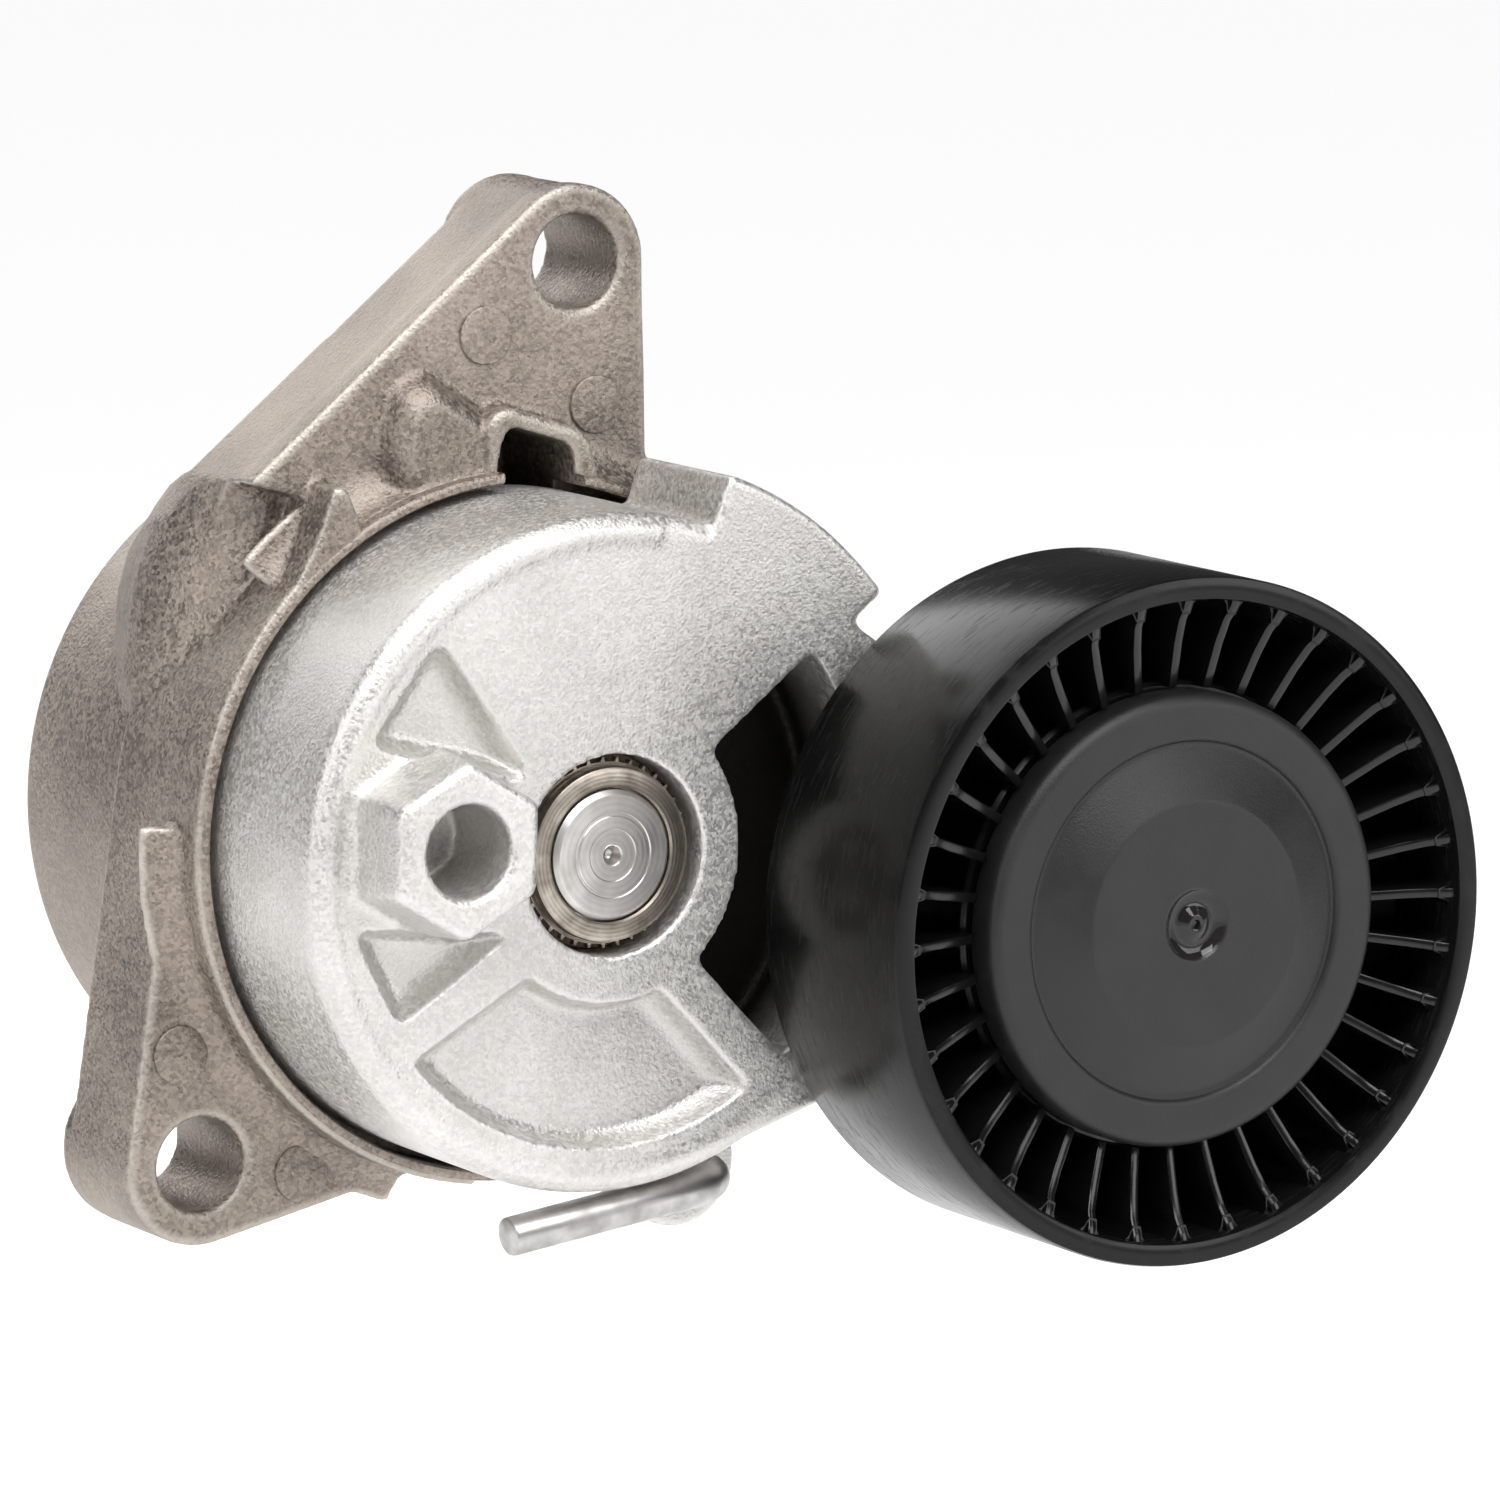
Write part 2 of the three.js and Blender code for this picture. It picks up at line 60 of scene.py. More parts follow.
MM = 0.001
Y_AXIS = (0.0, 1.0, 0.0)
MERGE_MM = 1e-4

Point = tuple[float, float]
Colour = tuple[float, float, float]


class Body(str, Enum):
    """The CAD bodies that pieces ride on."""

    BASE = "base"
    ARM = "arm"
    PULLEY = "pulley"
    BALLS = "ball_set"
    PIN = "pin"


class Slot(str, Enum):
    """The record's material slots."""

    CAST_BASE = "cast_base"
    CAST_ARM = "cast_arm"
    TURNED = "turned_steel"
    WORN = "worn_steel"
    PIN = "pin_steel"
    SPRING = "spring_steel"
    BEARING = "bearing_steel"
    PULLEY = "pulley_plastic"
    CAP = "cap_plastic"
    DAMPER = "damper_plastic"
    BUSH = "bush_polymer"
    SEAL = "seal_rubber"


# ---- outlines ---------------------------------------------------------------


def polar(radius: float, degrees: float, centre: Point = (0.0, 0.0)) -> Point:
    """Returns the point at that radius and angle from the centre."""
    angle = math.radians(degrees)
    return centre[0] + radius * math.cos(angle), centre[1] + radius * math.sin(angle)


def arc(centre: Point, radius: float, start: float, stop: float, steps: int = 12) -> list[Point]:
    """Lists the points of an arc, both ends included.

    Args:
        centre: the arc's centre, as X and Z in millimetres.
        radius: its radius in millimetres.
        start: the first angle in degrees.
        stop: the last angle in degrees; less than start runs clockwise.
        steps: how many straight steps it takes.

    Returns:
        The points in order.
    """
    turn = (stop - start) / steps
    return [polar(radius, start + turn * i, centre) for i in range(steps + 1)]


def sector(inner: float, outer: float, start: float, stop: float, steps: int = 12) -> list[Point]:
    """Returns the outline of a ring sector about the pivot axis."""
    here = (0.0, 0.0)
    return arc(here, outer, start, stop, steps) + arc(here, inner, stop, start, steps)


def rounded(corners: Sequence[Point], radius: float, steps: int = 4) -> list[Point]:
    """Returns an outline with each corner swapped for a short curve.

    Args:
        corners: the sharp outline, in order.
        radius: how far from each corner its curve starts, in millimetres.
        steps: how many straight steps each curve takes.

    Returns:
        The softened outline.
    """
    points = []
    count = len(corners)
    for i, corner in enumerate(corners):
        here = Vector(corner)
        before, after = Vector(corners[i - 1]), Vector(corners[(i + 1) % count])
        start = here + (before - here).normalized() * radius
        stop = here + (after - here).normalized() * radius
        for k in range(steps + 1):
            t = k / steps
            spot = start.lerp(here, t).lerp(here.lerp(stop, t), t)
            points.append((spot.x, spot.y))
    return points


# ---- modelling --------------------------------------------------------------


class Blank:
    """Closed shells modelled in millimetres, before they become an object."""

    def __init__(self) -> None:
        """Starts with no shells."""
        self.bm = bmesh.new()

    def _closed(self, before: set) -> list:
        """Merges and turns outwards every face made since `before`."""
        faces = [f for f in self.bm.faces if f not in before]
        verts = list({v for f in faces for v in f.verts})
        bmesh.ops.remove_doubles(self.bm, verts=verts, dist=MERGE_MM)
        faces = [f for f in self.bm.faces if f not in before]
        bmesh.ops.recalc_face_normals(self.bm, faces=faces)
        return faces

    def _rounded(self, faces: Iterable, width: float, segments: int, over: float) -> None:
        """Bevels the edges of those faces that are sharper than `over` degrees."""
        edges = {e for f in faces for e in f.edges}
        sharp = [e for e in edges if e.is_manifold and e.calc_face_angle(0.0) > math.radians(over)]
        bmesh.ops.bevel(
            self.bm, geom=sharp, offset=width, offset_type="OFFSET", segments=segments,
            profile=0.5, affect="EDGES", material=-1, clamp_overlap=True, loop_slide=True,
        )

    def soften(self, width: float, segments: int, over: float) -> "Blank":
        """Bevels every edge sharper than `over` degrees."""
        self._rounded(list(self.bm.faces), width, segments, over)
        return self

    def turned(
        self,
        profile: Sequence[Point],
        steps: int = 128,
        centre: Point = (0.0, 0.0),
        closed: bool = True,
    ) -> "Blank":
        """Spins a profile round a line along Y.

        Args:
            profile: radius and depth of each corner, in millimetres.
            steps: facets around the full turn.
            centre: X and Z of the axis.
            closed: joins the last corner to the first; False for a profile
                that starts and ends on the axis.

        Returns:
            This blank.
        """
        before = set(self.bm.faces)
        verts = [self.bm.verts.new((centre[0] + r, y, centre[1])) for r, y in profile]
        edges = [self.bm.edges.new(pair) for pair in zip(verts, verts[1:])]
        if closed:
            edges.append(self.bm.edges.new((verts[-1], verts[0])))
        bmesh.ops.spin(
            self.bm, geom=verts + edges, cent=(centre[0], 0.0, centre[1]), axis=Y_AXIS,
            dvec=(0.0, 0.0, 0.0), angle=math.tau, steps=steps, use_merge=True,
            use_duplicate=False, use_normal_flip=False, space=Matrix.Identity(4),
        )
        self._closed(before)
        return self

    def prism(
        self,
        corners: Sequence[Sequence[float]],
        along: Sequence[float],
        bevel: float = 0.0,
        segments: int = 2,
        taper: float = 1.0,
        about: Optional[Sequence[float]] = None,
        over: float = 30.0,
    ) -> "Blank":
        """Extrudes a flat polygon.

        Args:
            corners: the polygon's corners in order.
            along: the extrusion vector.
            bevel: width of the rounding on its sharp edges, 0 for none.
            segments: steps of that rounding.
            taper: scale of the far end.
            about: the point that it shrinks to; its own middle unless given.
            over: edges sharper than this many degrees are rounded.

        Returns:
            This blank.
        """
        before = set(self.bm.faces)
        face = self.bm.faces.new([self.bm.verts.new(c) for c in corners])
        grown = bmesh.ops.extrude_face_region(self.bm, geom=[face], use_keep_orig=True)
        end = [g for g in grown["geom"] if isinstance(g, bmesh.types.BMVert)]
        bmesh.ops.translate(self.bm, verts=end, vec=along)
        if taper != 1.0:
            middle = Vector(about) if about else sum((v.co for v in end), Vector()) / len(end)
            bmesh.ops.scale(
                self.bm, verts=end, vec=(taper, 1.0, taper),
                space=Matrix.Translation(-middle),
            )
        faces = self._closed(before)
        if bevel:
            self._rounded(faces, bevel, segments, over)
        return self

    def plate(
        self,
        outline: Sequence[Point],
        front: float,
        rear: float,
        bevel: float = 0.0,
        segments: int = 2,
        taper: float = 1.0,
        about: Optional[Sequence[float]] = None,
    ) -> "Blank":
        """Extrudes an outline drawn in X and Z from one depth to another.

        Args:
            outline: the corners, as X and Z in millimetres.
            front: depth of the drawn outline.
            rear: depth of its far end.
            bevel: width of the rounding on its sharp edges.
            segments: steps of that rounding.
            taper: scale of the far end.
            about: the point that it shrinks to.

        Returns:
            This blank.
        """
        corners = [(x, front, z) for x, z in outline]
        return self.prism(corners, (0.0, rear - front, 0.0), bevel, segments, taper, about)

    def dished(
        self, outline: Sequence[Point], front: float, rear: float, deeper: float, shrink: float
    ) -> "Blank":
        """Extrudes an outline, then narrows its far end while it goes deeper.

        Args:
            outline: the corners, as X and Z in millimetres.
            front: depth of the drawn outline.
            rear: depth where the sloping wall starts.
            deeper: how much further the narrowed end goes.
            shrink: size of the narrowed end, as a share of the outline.

        Returns:
            This blank.
        """
        before = set(self.bm.faces)
        end = self.bm.faces.new([self.bm.verts.new((x, front, z)) for x, z in outline])
        size = 1.0
        for scale, depth in ((1.0, 0.0), (0.7, 0.5), (0.35, 0.85), (0.0, 1.0)):
            last = end
            grown = bmesh.ops.extrude_face_region(self.bm, geom=[last], use_keep_orig=True)["geom"]
            end = next(g for g in grown if isinstance(g, bmesh.types.BMFace))
            if depth:
                bmesh.ops.delete(self.bm, geom=[last], context="FACES_ONLY")
            verts = list(end.verts)
            now = shrink + (1.0 - shrink) * scale
            middle = end.calc_center_median()
            bmesh.ops.scale(self.bm, verts=verts, vec=(now / size, 1.0, now / size),
                            space=Matrix.Translation(-middle))
            size = now
            for vert in verts:
                vert.co.y = rear + deeper * depth
        self._closed(before)
        return self

    def lofted(self, sections: Sequence[tuple[float, Sequence[Point]]]) -> "Blank":
        """Joins outlines drawn at several depths into one closed shell.

        Args:
            sections: the depth and the outline of each section, in order,
                every outline with as many corners as the first.

        Returns:
            This blank.
        """
        before = set(self.bm.faces)
        faces = []
        for depth, outline in sections:
            face = self.bm.faces.new([self.bm.verts.new((x, depth, z)) for x, z in outline])
            faces.append(face)
        for first, second in zip(faces, faces[1:]):
            bmesh.ops.bridge_loops(self.bm, edges=[*first.edges, *second.edges])
        inner = [face for face in faces[1:-1] if face.is_valid]
        bmesh.ops.delete(self.bm, geom=inner, context="FACES_ONLY")
        self._closed(before)
        return self

    def swept(
        self, profile: Sequence[Point], start: float, stop: float, steps: int = 36
    ) -> "Blank":
        """Spins a profile part of the way round the pivot axis.

        Args:
            profile: radius and depth of each corner, in millimetres.
            start: the first angle in degrees.
            stop: the last angle in degrees.
            steps: facets along the sweep.

        Returns:
            This blank.
        """
        before = set(self.bm.faces)
        x, z = polar(1.0, start)
        face = self.bm.faces.new([self.bm.verts.new((r * x, y, r * z)) for r, y in profile])
        bmesh.ops.spin(
            self.bm, geom=[face, *face.edges, *face.verts], cent=(0.0, 0.0, 0.0),
            axis=(0.0, -1.0, 0.0), dvec=(0.0, 0.0, 0.0), angle=math.radians(stop - start),
            steps=steps, use_merge=False, use_duplicate=False, use_normal_flip=False,
            space=Matrix.Identity(4),
        )
        self._closed(before)
        return self

    def rod(
        self,
        centre: Point,
        front: float,
        rear: float,
        radius: float,
        rear_radius: Optional[float] = None,
        sides: int = 48,
        turn: float = 0.0,
        bevel: float = 0.0,
        over: float = 30.0,
    ) -> "Blank":
        """Adds a cylinder, cone or prism whose axis is along Y.

        Args:
            centre: X and Z of the axis.
            front: depth of the front end.
            rear: depth of the rear end.
            radius: radius at the front, and at the rear unless given.
            rear_radius: radius at the rear.
            sides: facets around it.
            turn: degrees from +X to the first corner.
            bevel: width of the rounding on its sharp edges.
            over: edges sharper than this many degrees are rounded.

        Returns:
            This blank.
        """
        before = set(self.bm.faces)
        place = (
            Matrix.Translation((centre[0], (front + rear) / 2, centre[1]))
            @ Matrix.Rotation(math.radians(-turn), 4, "Y")
            @ Matrix.Rotation(math.radians(-90), 4, "X")
        )
        bmesh.ops.create_cone(
            self.bm, cap_ends=True, cap_tris=False, segments=sides, radius1=radius,
            radius2=radius if rear_radius is None else rear_radius, depth=rear - front,
            matrix=place,
        )
        faces = self._closed(before)
        if bevel:
            self._rounded(faces, bevel, 3, over)
        return self

    def ball(self, place: Sequence[float], radius: float, sides: int = 28) -> "Blank":
        """Adds a sphere."""
        bmesh.ops.create_uvsphere(
            self.bm, u_segments=sides, v_segments=sides // 2, radius=radius,
            matrix=Matrix.Translation(place),
        )
        return self

    def around(self, build: Callable[["Blank"], None], count: int, centre: Point) -> "Blank":
        """Repeats a shape evenly about a line along Y.

        Args:
            build: adds one copy of the shape to a blank.
            count: how many copies go round.
            centre: X and Z of the line.

        Returns:
            This blank.
        """
        for i in range(count):
            one = Blank()
            build(one)
            bmesh.ops.rotate(
                one.bm, verts=one.bm.verts, cent=(centre[0], 0.0, centre[1]),
                matrix=Matrix.Rotation(math.tau * i / count, 3, "Y"),
            )
            self.take(one)
        return self

    def take(self, other: "Blank") -> "Blank":
        """Moves every shell of another blank into this one."""
        mesh = other.mesh("taken")
        self.bm.from_mesh(mesh)
        bpy.data.meshes.remove(mesh)
        return self

    def mesh(self, name: str) -> bpy.types.Mesh:
        """Turns the blank into a mesh, still in millimetres."""
        mesh = bpy.data.meshes.new(name)
        self.bm.to_mesh(mesh)
        self.bm.free()
        return mesh


def evaluated(thing: bpy.types.Object) -> bpy.types.Mesh:
    """Returns a new mesh with the object's modifiers applied."""
    graph = bpy.context.evaluated_depsgraph_get()
    graph.update()
    return bpy.data.meshes.new_from_object(thing.evaluated_get(graph), depsgraph=graph)


def linked(name: str, mesh: bpy.types.Mesh) -> bpy.types.Object:
    """Puts a mesh into the scene as an object."""
    thing = bpy.data.objects.new(name, mesh)
    bpy.context.scene.collection.objects.link(thing)
    return thing


def carved(solids: Blank, cutters: Blank) -> bpy.types.Mesh:
    """Returns the solids less the cutters, with crisp edges, in millimetres."""
    rough = linked("rough", solids.mesh("rough"))
    tools = linked("tools", cutters.mesh("tools"))
    cut = rough.modifiers.new("cut", "BOOLEAN")
    cut.operation = "DIFFERENCE"
    cut.solver = "EXACT"
    cut.use_self = True
    cut.object = tools
    mesh = evaluated(rough)
    for thing in (rough, tools):
        bpy.data.objects.remove(thing)
    return mesh


def cast(solids: Blank, cutters: Blank, voxel: float, smooth: int, keep: float) -> bpy.types.Mesh:
    """Fuses overlapping shells into one casting with soft edges.

    Args:
        solids: the shells that add material.
        cutters: the shells that take it away.
        voxel: grain of the fused surface, in millimetres.
        smooth: how many smoothing passes round its edges.
        keep: share of the faces that stays.

    Returns:
        The casting's mesh, in millimetres.
    """
    rough = linked("rough", carved(solids, cutters))
    grain = rough.modifiers.new("grain", "REMESH")
    grain.mode = "VOXEL"
    grain.voxel_size = voxel
    soft = rough.modifiers.new("soft", "SMOOTH")
    soft.factor = 0.5
    soft.iterations = smooth
    thin = rough.modifiers.new("thin", "DECIMATE")
    thin.ratio = keep
    mesh = evaluated(rough)
    bpy.data.objects.remove(rough)
    return mesh


def mark_edges(mesh: bpy.types.Mesh, reach: float) -> None:
    """Stores how far each vertex stands proud of its neighbours, as "wear".

    Args:
        mesh: the mesh, in millimetres.
        reach: the stand-out, in millimetres, that counts as a full edge.
    """
    count = len(mesh.vertices)
    places = np.empty(count * 3)
    mesh.vertices.foreach_get("co", places)
    places = places.reshape(-1, 3)
    normals = np.empty(count * 3, np.float32)
    mesh.vertices.foreach_get("normal", normals)
    normals = normals.reshape(-1, 3)
    ends = np.empty(len(mesh.edges) * 2, np.int64)
    mesh.edges.foreach_get("vertices", ends)
    first, second = ends.reshape(-1, 2).T
    degree = np.maximum(np.bincount(ends, minlength=count), 1)

    def spread(value: np.ndarray) -> np.ndarray:
        """Returns the mean of each vertex's neighbours."""
        total = np.bincount(first, value[second], count) + np.bincount(second, value[first], count)
        return total / degree

    mean = np.stack([spread(places[:, axis]) for axis in range(3)], axis=1)
    proud = ((places - mean) * normals).sum(axis=1)
    for _ in range(2):
        proud = (proud + spread(proud)) / 2
    layer = mesh.attributes.new("wear", "FLOAT", "POINT")
    layer.data.foreach_set("value", np.clip(proud / reach, 0.0, 1.0).astype(np.float32))


def mark_pocket_shade(
    mesh: bpy.types.Mesh, inner: float, outer: float, front: float, rear: float
) -> None:
    """Stores painted shade for a ring-shaped zone, darker the deeper a vertex lies, as a point
    attribute.

    Args:
        mesh: the mesh, in millimetres.
        inner: inner radius of the zone about the pivot axis.
        outer: its outer radius.
        front: depth where the painted shade starts.
        rear: depth where the painted shade is full.
    """
    places = np.empty(len(mesh.vertices) * 3)
    mesh.vertices.foreach_get("co", places)
    x, y, z = places.reshape(-1, 3).T
    radius = np.hypot(x, z)
    depth = np.clip((y - front) / (rear - front), 0.0, 1.0)
    inside = (radius > inner) & (radius < outer)
    # painted shade: this mask darkens the pocket towards its floor, in place of the shadow there
    layer = mesh.attributes.new("pocket_shade", "FLOAT", "POINT")
    layer.data.foreach_set("value", np.where(inside, depth, 0.0).astype(np.float32))


def piece(
    name: str,
    mesh: bpy.types.Mesh,
    body: Body,
    material: bpy.types.Material,
    stands_for: Sequence[str] = (),
    smooth_under: float = 35.0,
) -> bpy.types.Object:
    """Makes the finished object of one physical piece.

    Args:
        name: the object's name.
        mesh: its mesh in millimetres.
        body: the CAD body that it rides.
        material: its finish.
        stands_for: the CAD nodes that it replaces.
        smooth_under: edges flatter than this many degrees shade smoothly.

    Returns:
        The object, in metres, at the origin.
    """
    mesh.name = name
    mesh.transform(Matrix.Scale(MM, 4))
    mesh.shade_smooth()
    mesh.set_sharp_from_angle(angle=math.radians(smooth_under))
    mesh.materials.clear()
    mesh.materials.append(material)
    thing = linked(name, mesh)
    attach(thing, body.value)
    if stands_for:
        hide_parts(*stands_for)
    LOG.info("%s: %d faces on %s", name, len(mesh.polygons), body.value)
    return thing


# ---- finishes ---------------------------------------------------------------


class Graph:
    """A material's node tree, with short calls to add and join nodes."""

    def __init__(self, name: str) -> None:
        """Starts a material with its shader and its surface coordinates."""
        self.material = bpy.data.materials.new(name)
        self.material.use_nodes = True
        self.tree = self.material.node_tree
        self.shader = self.tree.nodes["Principled BSDF"]
        self.place = self.add("ShaderNodeTexCoord").outputs["Object"]

    def add(self, kind: str, **settings: object) -> bpy.types.Node:
        """Adds a node and sets its plain properties."""
        node = self.tree.nodes.new(kind)
        for key, value in settings.items():
            setattr(node, key, value)
        return node

    def join(self, source: bpy.types.NodeSocket, target: bpy.types.NodeSocket) -> None:
        """Links two sockets."""
        self.tree.links.new(source, target)

    def moved(self, centre: Point, stretch: Colour = (1.0, 1.0, 1.0)) -> bpy.types.NodeSocket:
        """Returns coordinates measured from a line along Y.

        Args:
            centre: X and Z of the line, in millimetres.
            stretch: scale along each axis.
        """
        node = self.add("ShaderNodeMapping")
        node.inputs["Location"].default_value = (-centre[0] * MM, 0.0, -centre[1] * MM)
        scaled = self.add("ShaderNodeMapping")
        scaled.inputs["Scale"].default_value = stretch
        self.join(self.place, node.inputs["Vector"])
        self.join(node.outputs["Vector"], scaled.inputs["Vector"])
        return scaled.outputs["Vector"]

    def noise(
        self, size_mm: float, detail: float = 2.0, where: Optional[bpy.types.NodeSocket] = None
    ) -> bpy.types.NodeSocket:
        """Returns a noise whose blotches are about `size_mm` across."""
        node = self.add("ShaderNodeTexNoise")
        node.inputs["Scale"].default_value = 1 / (size_mm * MM)
        node.inputs["Detail"].default_value = detail
        self.join(where or self.place, node.inputs["Vector"])
        return node.outputs["Fac"]

    def grains(self, size_mm: float) -> bpy.types.NodeSocket:
        """Returns a random value for each grain of about `size_mm`."""
        node = self.add("ShaderNodeTexVoronoi")
        node.inputs["Scale"].default_value = 1 / (size_mm * MM)
        self.join(self.place, node.inputs["Vector"])
        split = self.add("ShaderNodeSeparateColor")
        self.join(node.outputs["Color"], split.inputs["Color"])
        return split.outputs["Red"]

    def ranged(
        self, value: bpy.types.NodeSocket, low: float, high: float, to_low: float, to_high: float
    ) -> bpy.types.NodeSocket:
        """Maps one range of a value onto another, clamped."""
        node = self.add("ShaderNodeMapRange")
        for key, number in zip(("From Min", "From Max", "To Min", "To Max"),
                               (low, high, to_low, to_high)):
            node.inputs[key].default_value = number
        self.join(value, node.inputs["Value"])
        return node.outputs["Result"]

    def sum(self, first: bpy.types.NodeSocket, second: bpy.types.NodeSocket,
            how: str = "ADD") -> bpy.types.NodeSocket:
        """Returns two values added, or combined in another way."""
        node = self.add("ShaderNodeMath", operation=how)
        self.join(first, node.inputs[0])
        self.join(second, node.inputs[1])
        return node.outputs["Value"]

    def mixed(self, share: bpy.types.NodeSocket, first: object, second: object
              ) -> bpy.types.NodeSocket:
        """Returns a colour between two colours or colour sockets."""
        node = self.add("ShaderNodeMix", data_type="RGBA")
        self.join(share, node.inputs["Factor"])
        for key, colour in (("A", first), ("B", second)):
            socket = [s for s in node.inputs if s.name == key and s.type == "RGBA"][0]
            if isinstance(colour, tuple):
                socket.default_value = (*colour, 1.0)
            else:
                self.join(colour, socket)
        return [s for s in node.outputs if s.type == "RGBA"][0]

    def bump(self, height: bpy.types.NodeSocket, depth_mm: float,
             under: Optional[bpy.types.NodeSocket] = None) -> bpy.types.NodeSocket:
        """Returns a normal roughened by a height."""
        node = self.add("ShaderNodeBump")
        node.inputs["Strength"].default_value = 1.0
        node.inputs["Distance"].default_value = depth_mm * MM
        self.join(height, node.inputs["Height"])
        if under:
            self.join(under, node.inputs["Normal"])
        return node.outputs["Normal"]


@dataclass(frozen=True)
class CastFinish:
    """Shot-blasted die casting: fine grain, sparkle, bright worn edges and painted shade in deep
    pockets.
    """

    name: str
    light: Colour
    dark: Colour
    worn: Colour
    roughness: float
    grain_mm: float = 0.3
    depth_mm: float = 0.05
    mottle_mm: float = 13.0
    sparkle: float = 0.5
    edge: float = 0.5
    # near-black colour painted into deep pockets as shade, where the pulley shadows them
    painted_shade: Colour = (0.03, 0.027, 0.025)

    def material(self) -> bpy.types.Material:
        """Builds the material."""
        g = Graph(self.name)
        mottle = g.ranged(g.noise(self.mottle_mm, 2.0), 0.3, 0.7, 0.25, 0.75)
        speck = g.grains(self.grain_mm)
        tone = g.sum(mottle, g.ranged(speck, 0.0, 1.0, -self.sparkle, self.sparkle))
        wear = g.add("ShaderNodeAttribute", attribute_name="wear").outputs["Fac"]
        edge = g.ranged(wear, 0.2, 0.9, 0.0, self.edge)
        skin = g.mixed(edge, g.mixed(tone, self.dark, self.light), self.worn)
        # painted shade: mixes the near-black colour into the skin where the pocket mask is set, in
        # place of the shadow
        pocket_shade = g.add("ShaderNodeAttribute", attribute_name="pocket_shade").outputs["Fac"]
        colour = g.mixed(pocket_shade, skin, self.painted_shade)
        g.join(colour, g.shader.inputs["Base Color"])
        g.shader.inputs["Metallic"].default_value = 0.8
        rough = g.ranged(speck, 0.0, 1.0, self.roughness - 0.12, self.roughness + 0.14)
        g.join(rough, g.shader.inputs["Roughness"])
        coarse = g.bump(g.noise(self.grain_mm * 6, 3.0), self.depth_mm * 0.8)
        fine = g.bump(g.sum(speck, g.noise(self.grain_mm, 1.0)), self.depth_mm, coarse)
        g.join(fine, g.shader.inputs["Normal"])
        return g.material


@dataclass(frozen=True)
class TurnedFinish:
    """Metal with fine rings left by a lathe tool about a line along Y."""

    name: str
    light: Colour
    dark: Colour
    roughness: float
    pitch_mm: float = 0.25
    depth_mm: float = 0.01
    centre: Point = (0.0, 0.0)

    def material(self) -> bpy.types.Material:
        """Builds the material."""
        g = Graph(self.name)
        where = g.moved(self.centre)
        rings = g.add("ShaderNodeTexWave", wave_type="RINGS", rings_direction="Y")
        rings.inputs["Scale"].default_value = 0.31 / (self.pitch_mm * MM)
        rings.inputs["Distortion"].default_value = 0.4
        g.join(where, rings.inputs["Vector"])
        stain = g.ranged(g.noise(2.5, 5.0), 0.35, 0.7, 0.0, 1.0)
        tone = g.sum(stain, g.ranged(rings.outputs["Fac"], 0.0, 1.0, -0.2, 0.2))
        g.join(g.mixed(tone, self.light, self.dark), g.shader.inputs["Base Color"])
        g.shader.inputs["Metallic"].default_value = 1.0
        rough = g.ranged(stain, 0.0, 1.0, self.roughness, self.roughness + 0.15)
        g.join(rough, g.shader.inputs["Roughness"])
        g.join(g.bump(rings.outputs["Fac"], self.depth_mm), g.shader.inputs["Normal"])
        return g.material


@dataclass(frozen=True)
class MouldedFinish:
    """Black moulded plastic, from glossy to finely grained."""

    name: str
    colour: Colour
    roughness: float
    grain_mm: float
    depth_mm: float
    scuff: float = 0.1
    gate: Optional[Point] = None
    shine: float = 0.4

    def material(self) -> bpy.types.Material:
        """Builds the material."""
        g = Graph(self.name)
        g.shader.inputs["Specular IOR Level"].default_value = self.shine
        cloud = g.ranged(g.noise(6.0, 4.0), 0.35, 0.75, 0.0, 1.0)
        lighter = tuple(min(1.0, c * 1.4 + 0.001) for c in self.colour)
        g.join(g.mixed(cloud, self.colour, lighter), g.shader.inputs["Base Color"])
        rough = g.ranged(cloud, 0.0, 1.0, self.roughness, self.roughness + self.scuff)
        height = g.noise(self.grain_mm, 2.0)
        if self.gate:
            far = g.add("ShaderNodeVectorMath", operation="LENGTH")
            g.join(g.moved(self.gate, (1.0, 0.0, 1.0)), far.inputs[0])
            dull = g.ranged(far.outputs["Value"], 3.4 * MM, 3.8 * MM, 0.12, 1.0)
            rough = g.sum(rough, dull, "MULTIPLY")
            height = g.sum(height, dull, "MULTIPLY")
        g.join(rough, g.shader.inputs["Roughness"])
        g.join(g.bump(height, self.depth_mm), g.shader.inputs["Normal"])
        return g.material


@dataclass(frozen=True)
class TreadFinish:
    """Smooth black tread with fine turned lines and light handling marks."""

    name: str
    colour: Colour
    roughness: float
    line_mm: float = 0.35
    depth_mm: float = 0.006
    shine: float = 0.22

    def material(self) -> bpy.types.Material:
        """Builds the material."""
        g = Graph(self.name)
        g.shader.inputs["Specular IOR Level"].default_value = self.shine
        lines = g.noise(self.line_mm, 2.0, g.moved((0.0, 0.0), (0.01, 1.0, 0.01)))
        scratch = g.noise(1.2, 5.0, g.moved((0.0, 0.0), (0.35, 2.2, 0.35)))
        worn = g.ranged(scratch, 0.52, 0.75, 0.0, 1.0)
        lighter = tuple(c * 1.6 + 0.002 for c in self.colour)
        g.join(g.mixed(worn, self.colour, lighter), g.shader.inputs["Base Color"])
        rough = g.ranged(worn, 0.0, 1.0, self.roughness, self.roughness + 0.2)
        g.join(rough, g.shader.inputs["Roughness"])
        g.join(g.bump(lines, self.depth_mm), g.shader.inputs["Normal"])
        return g.material


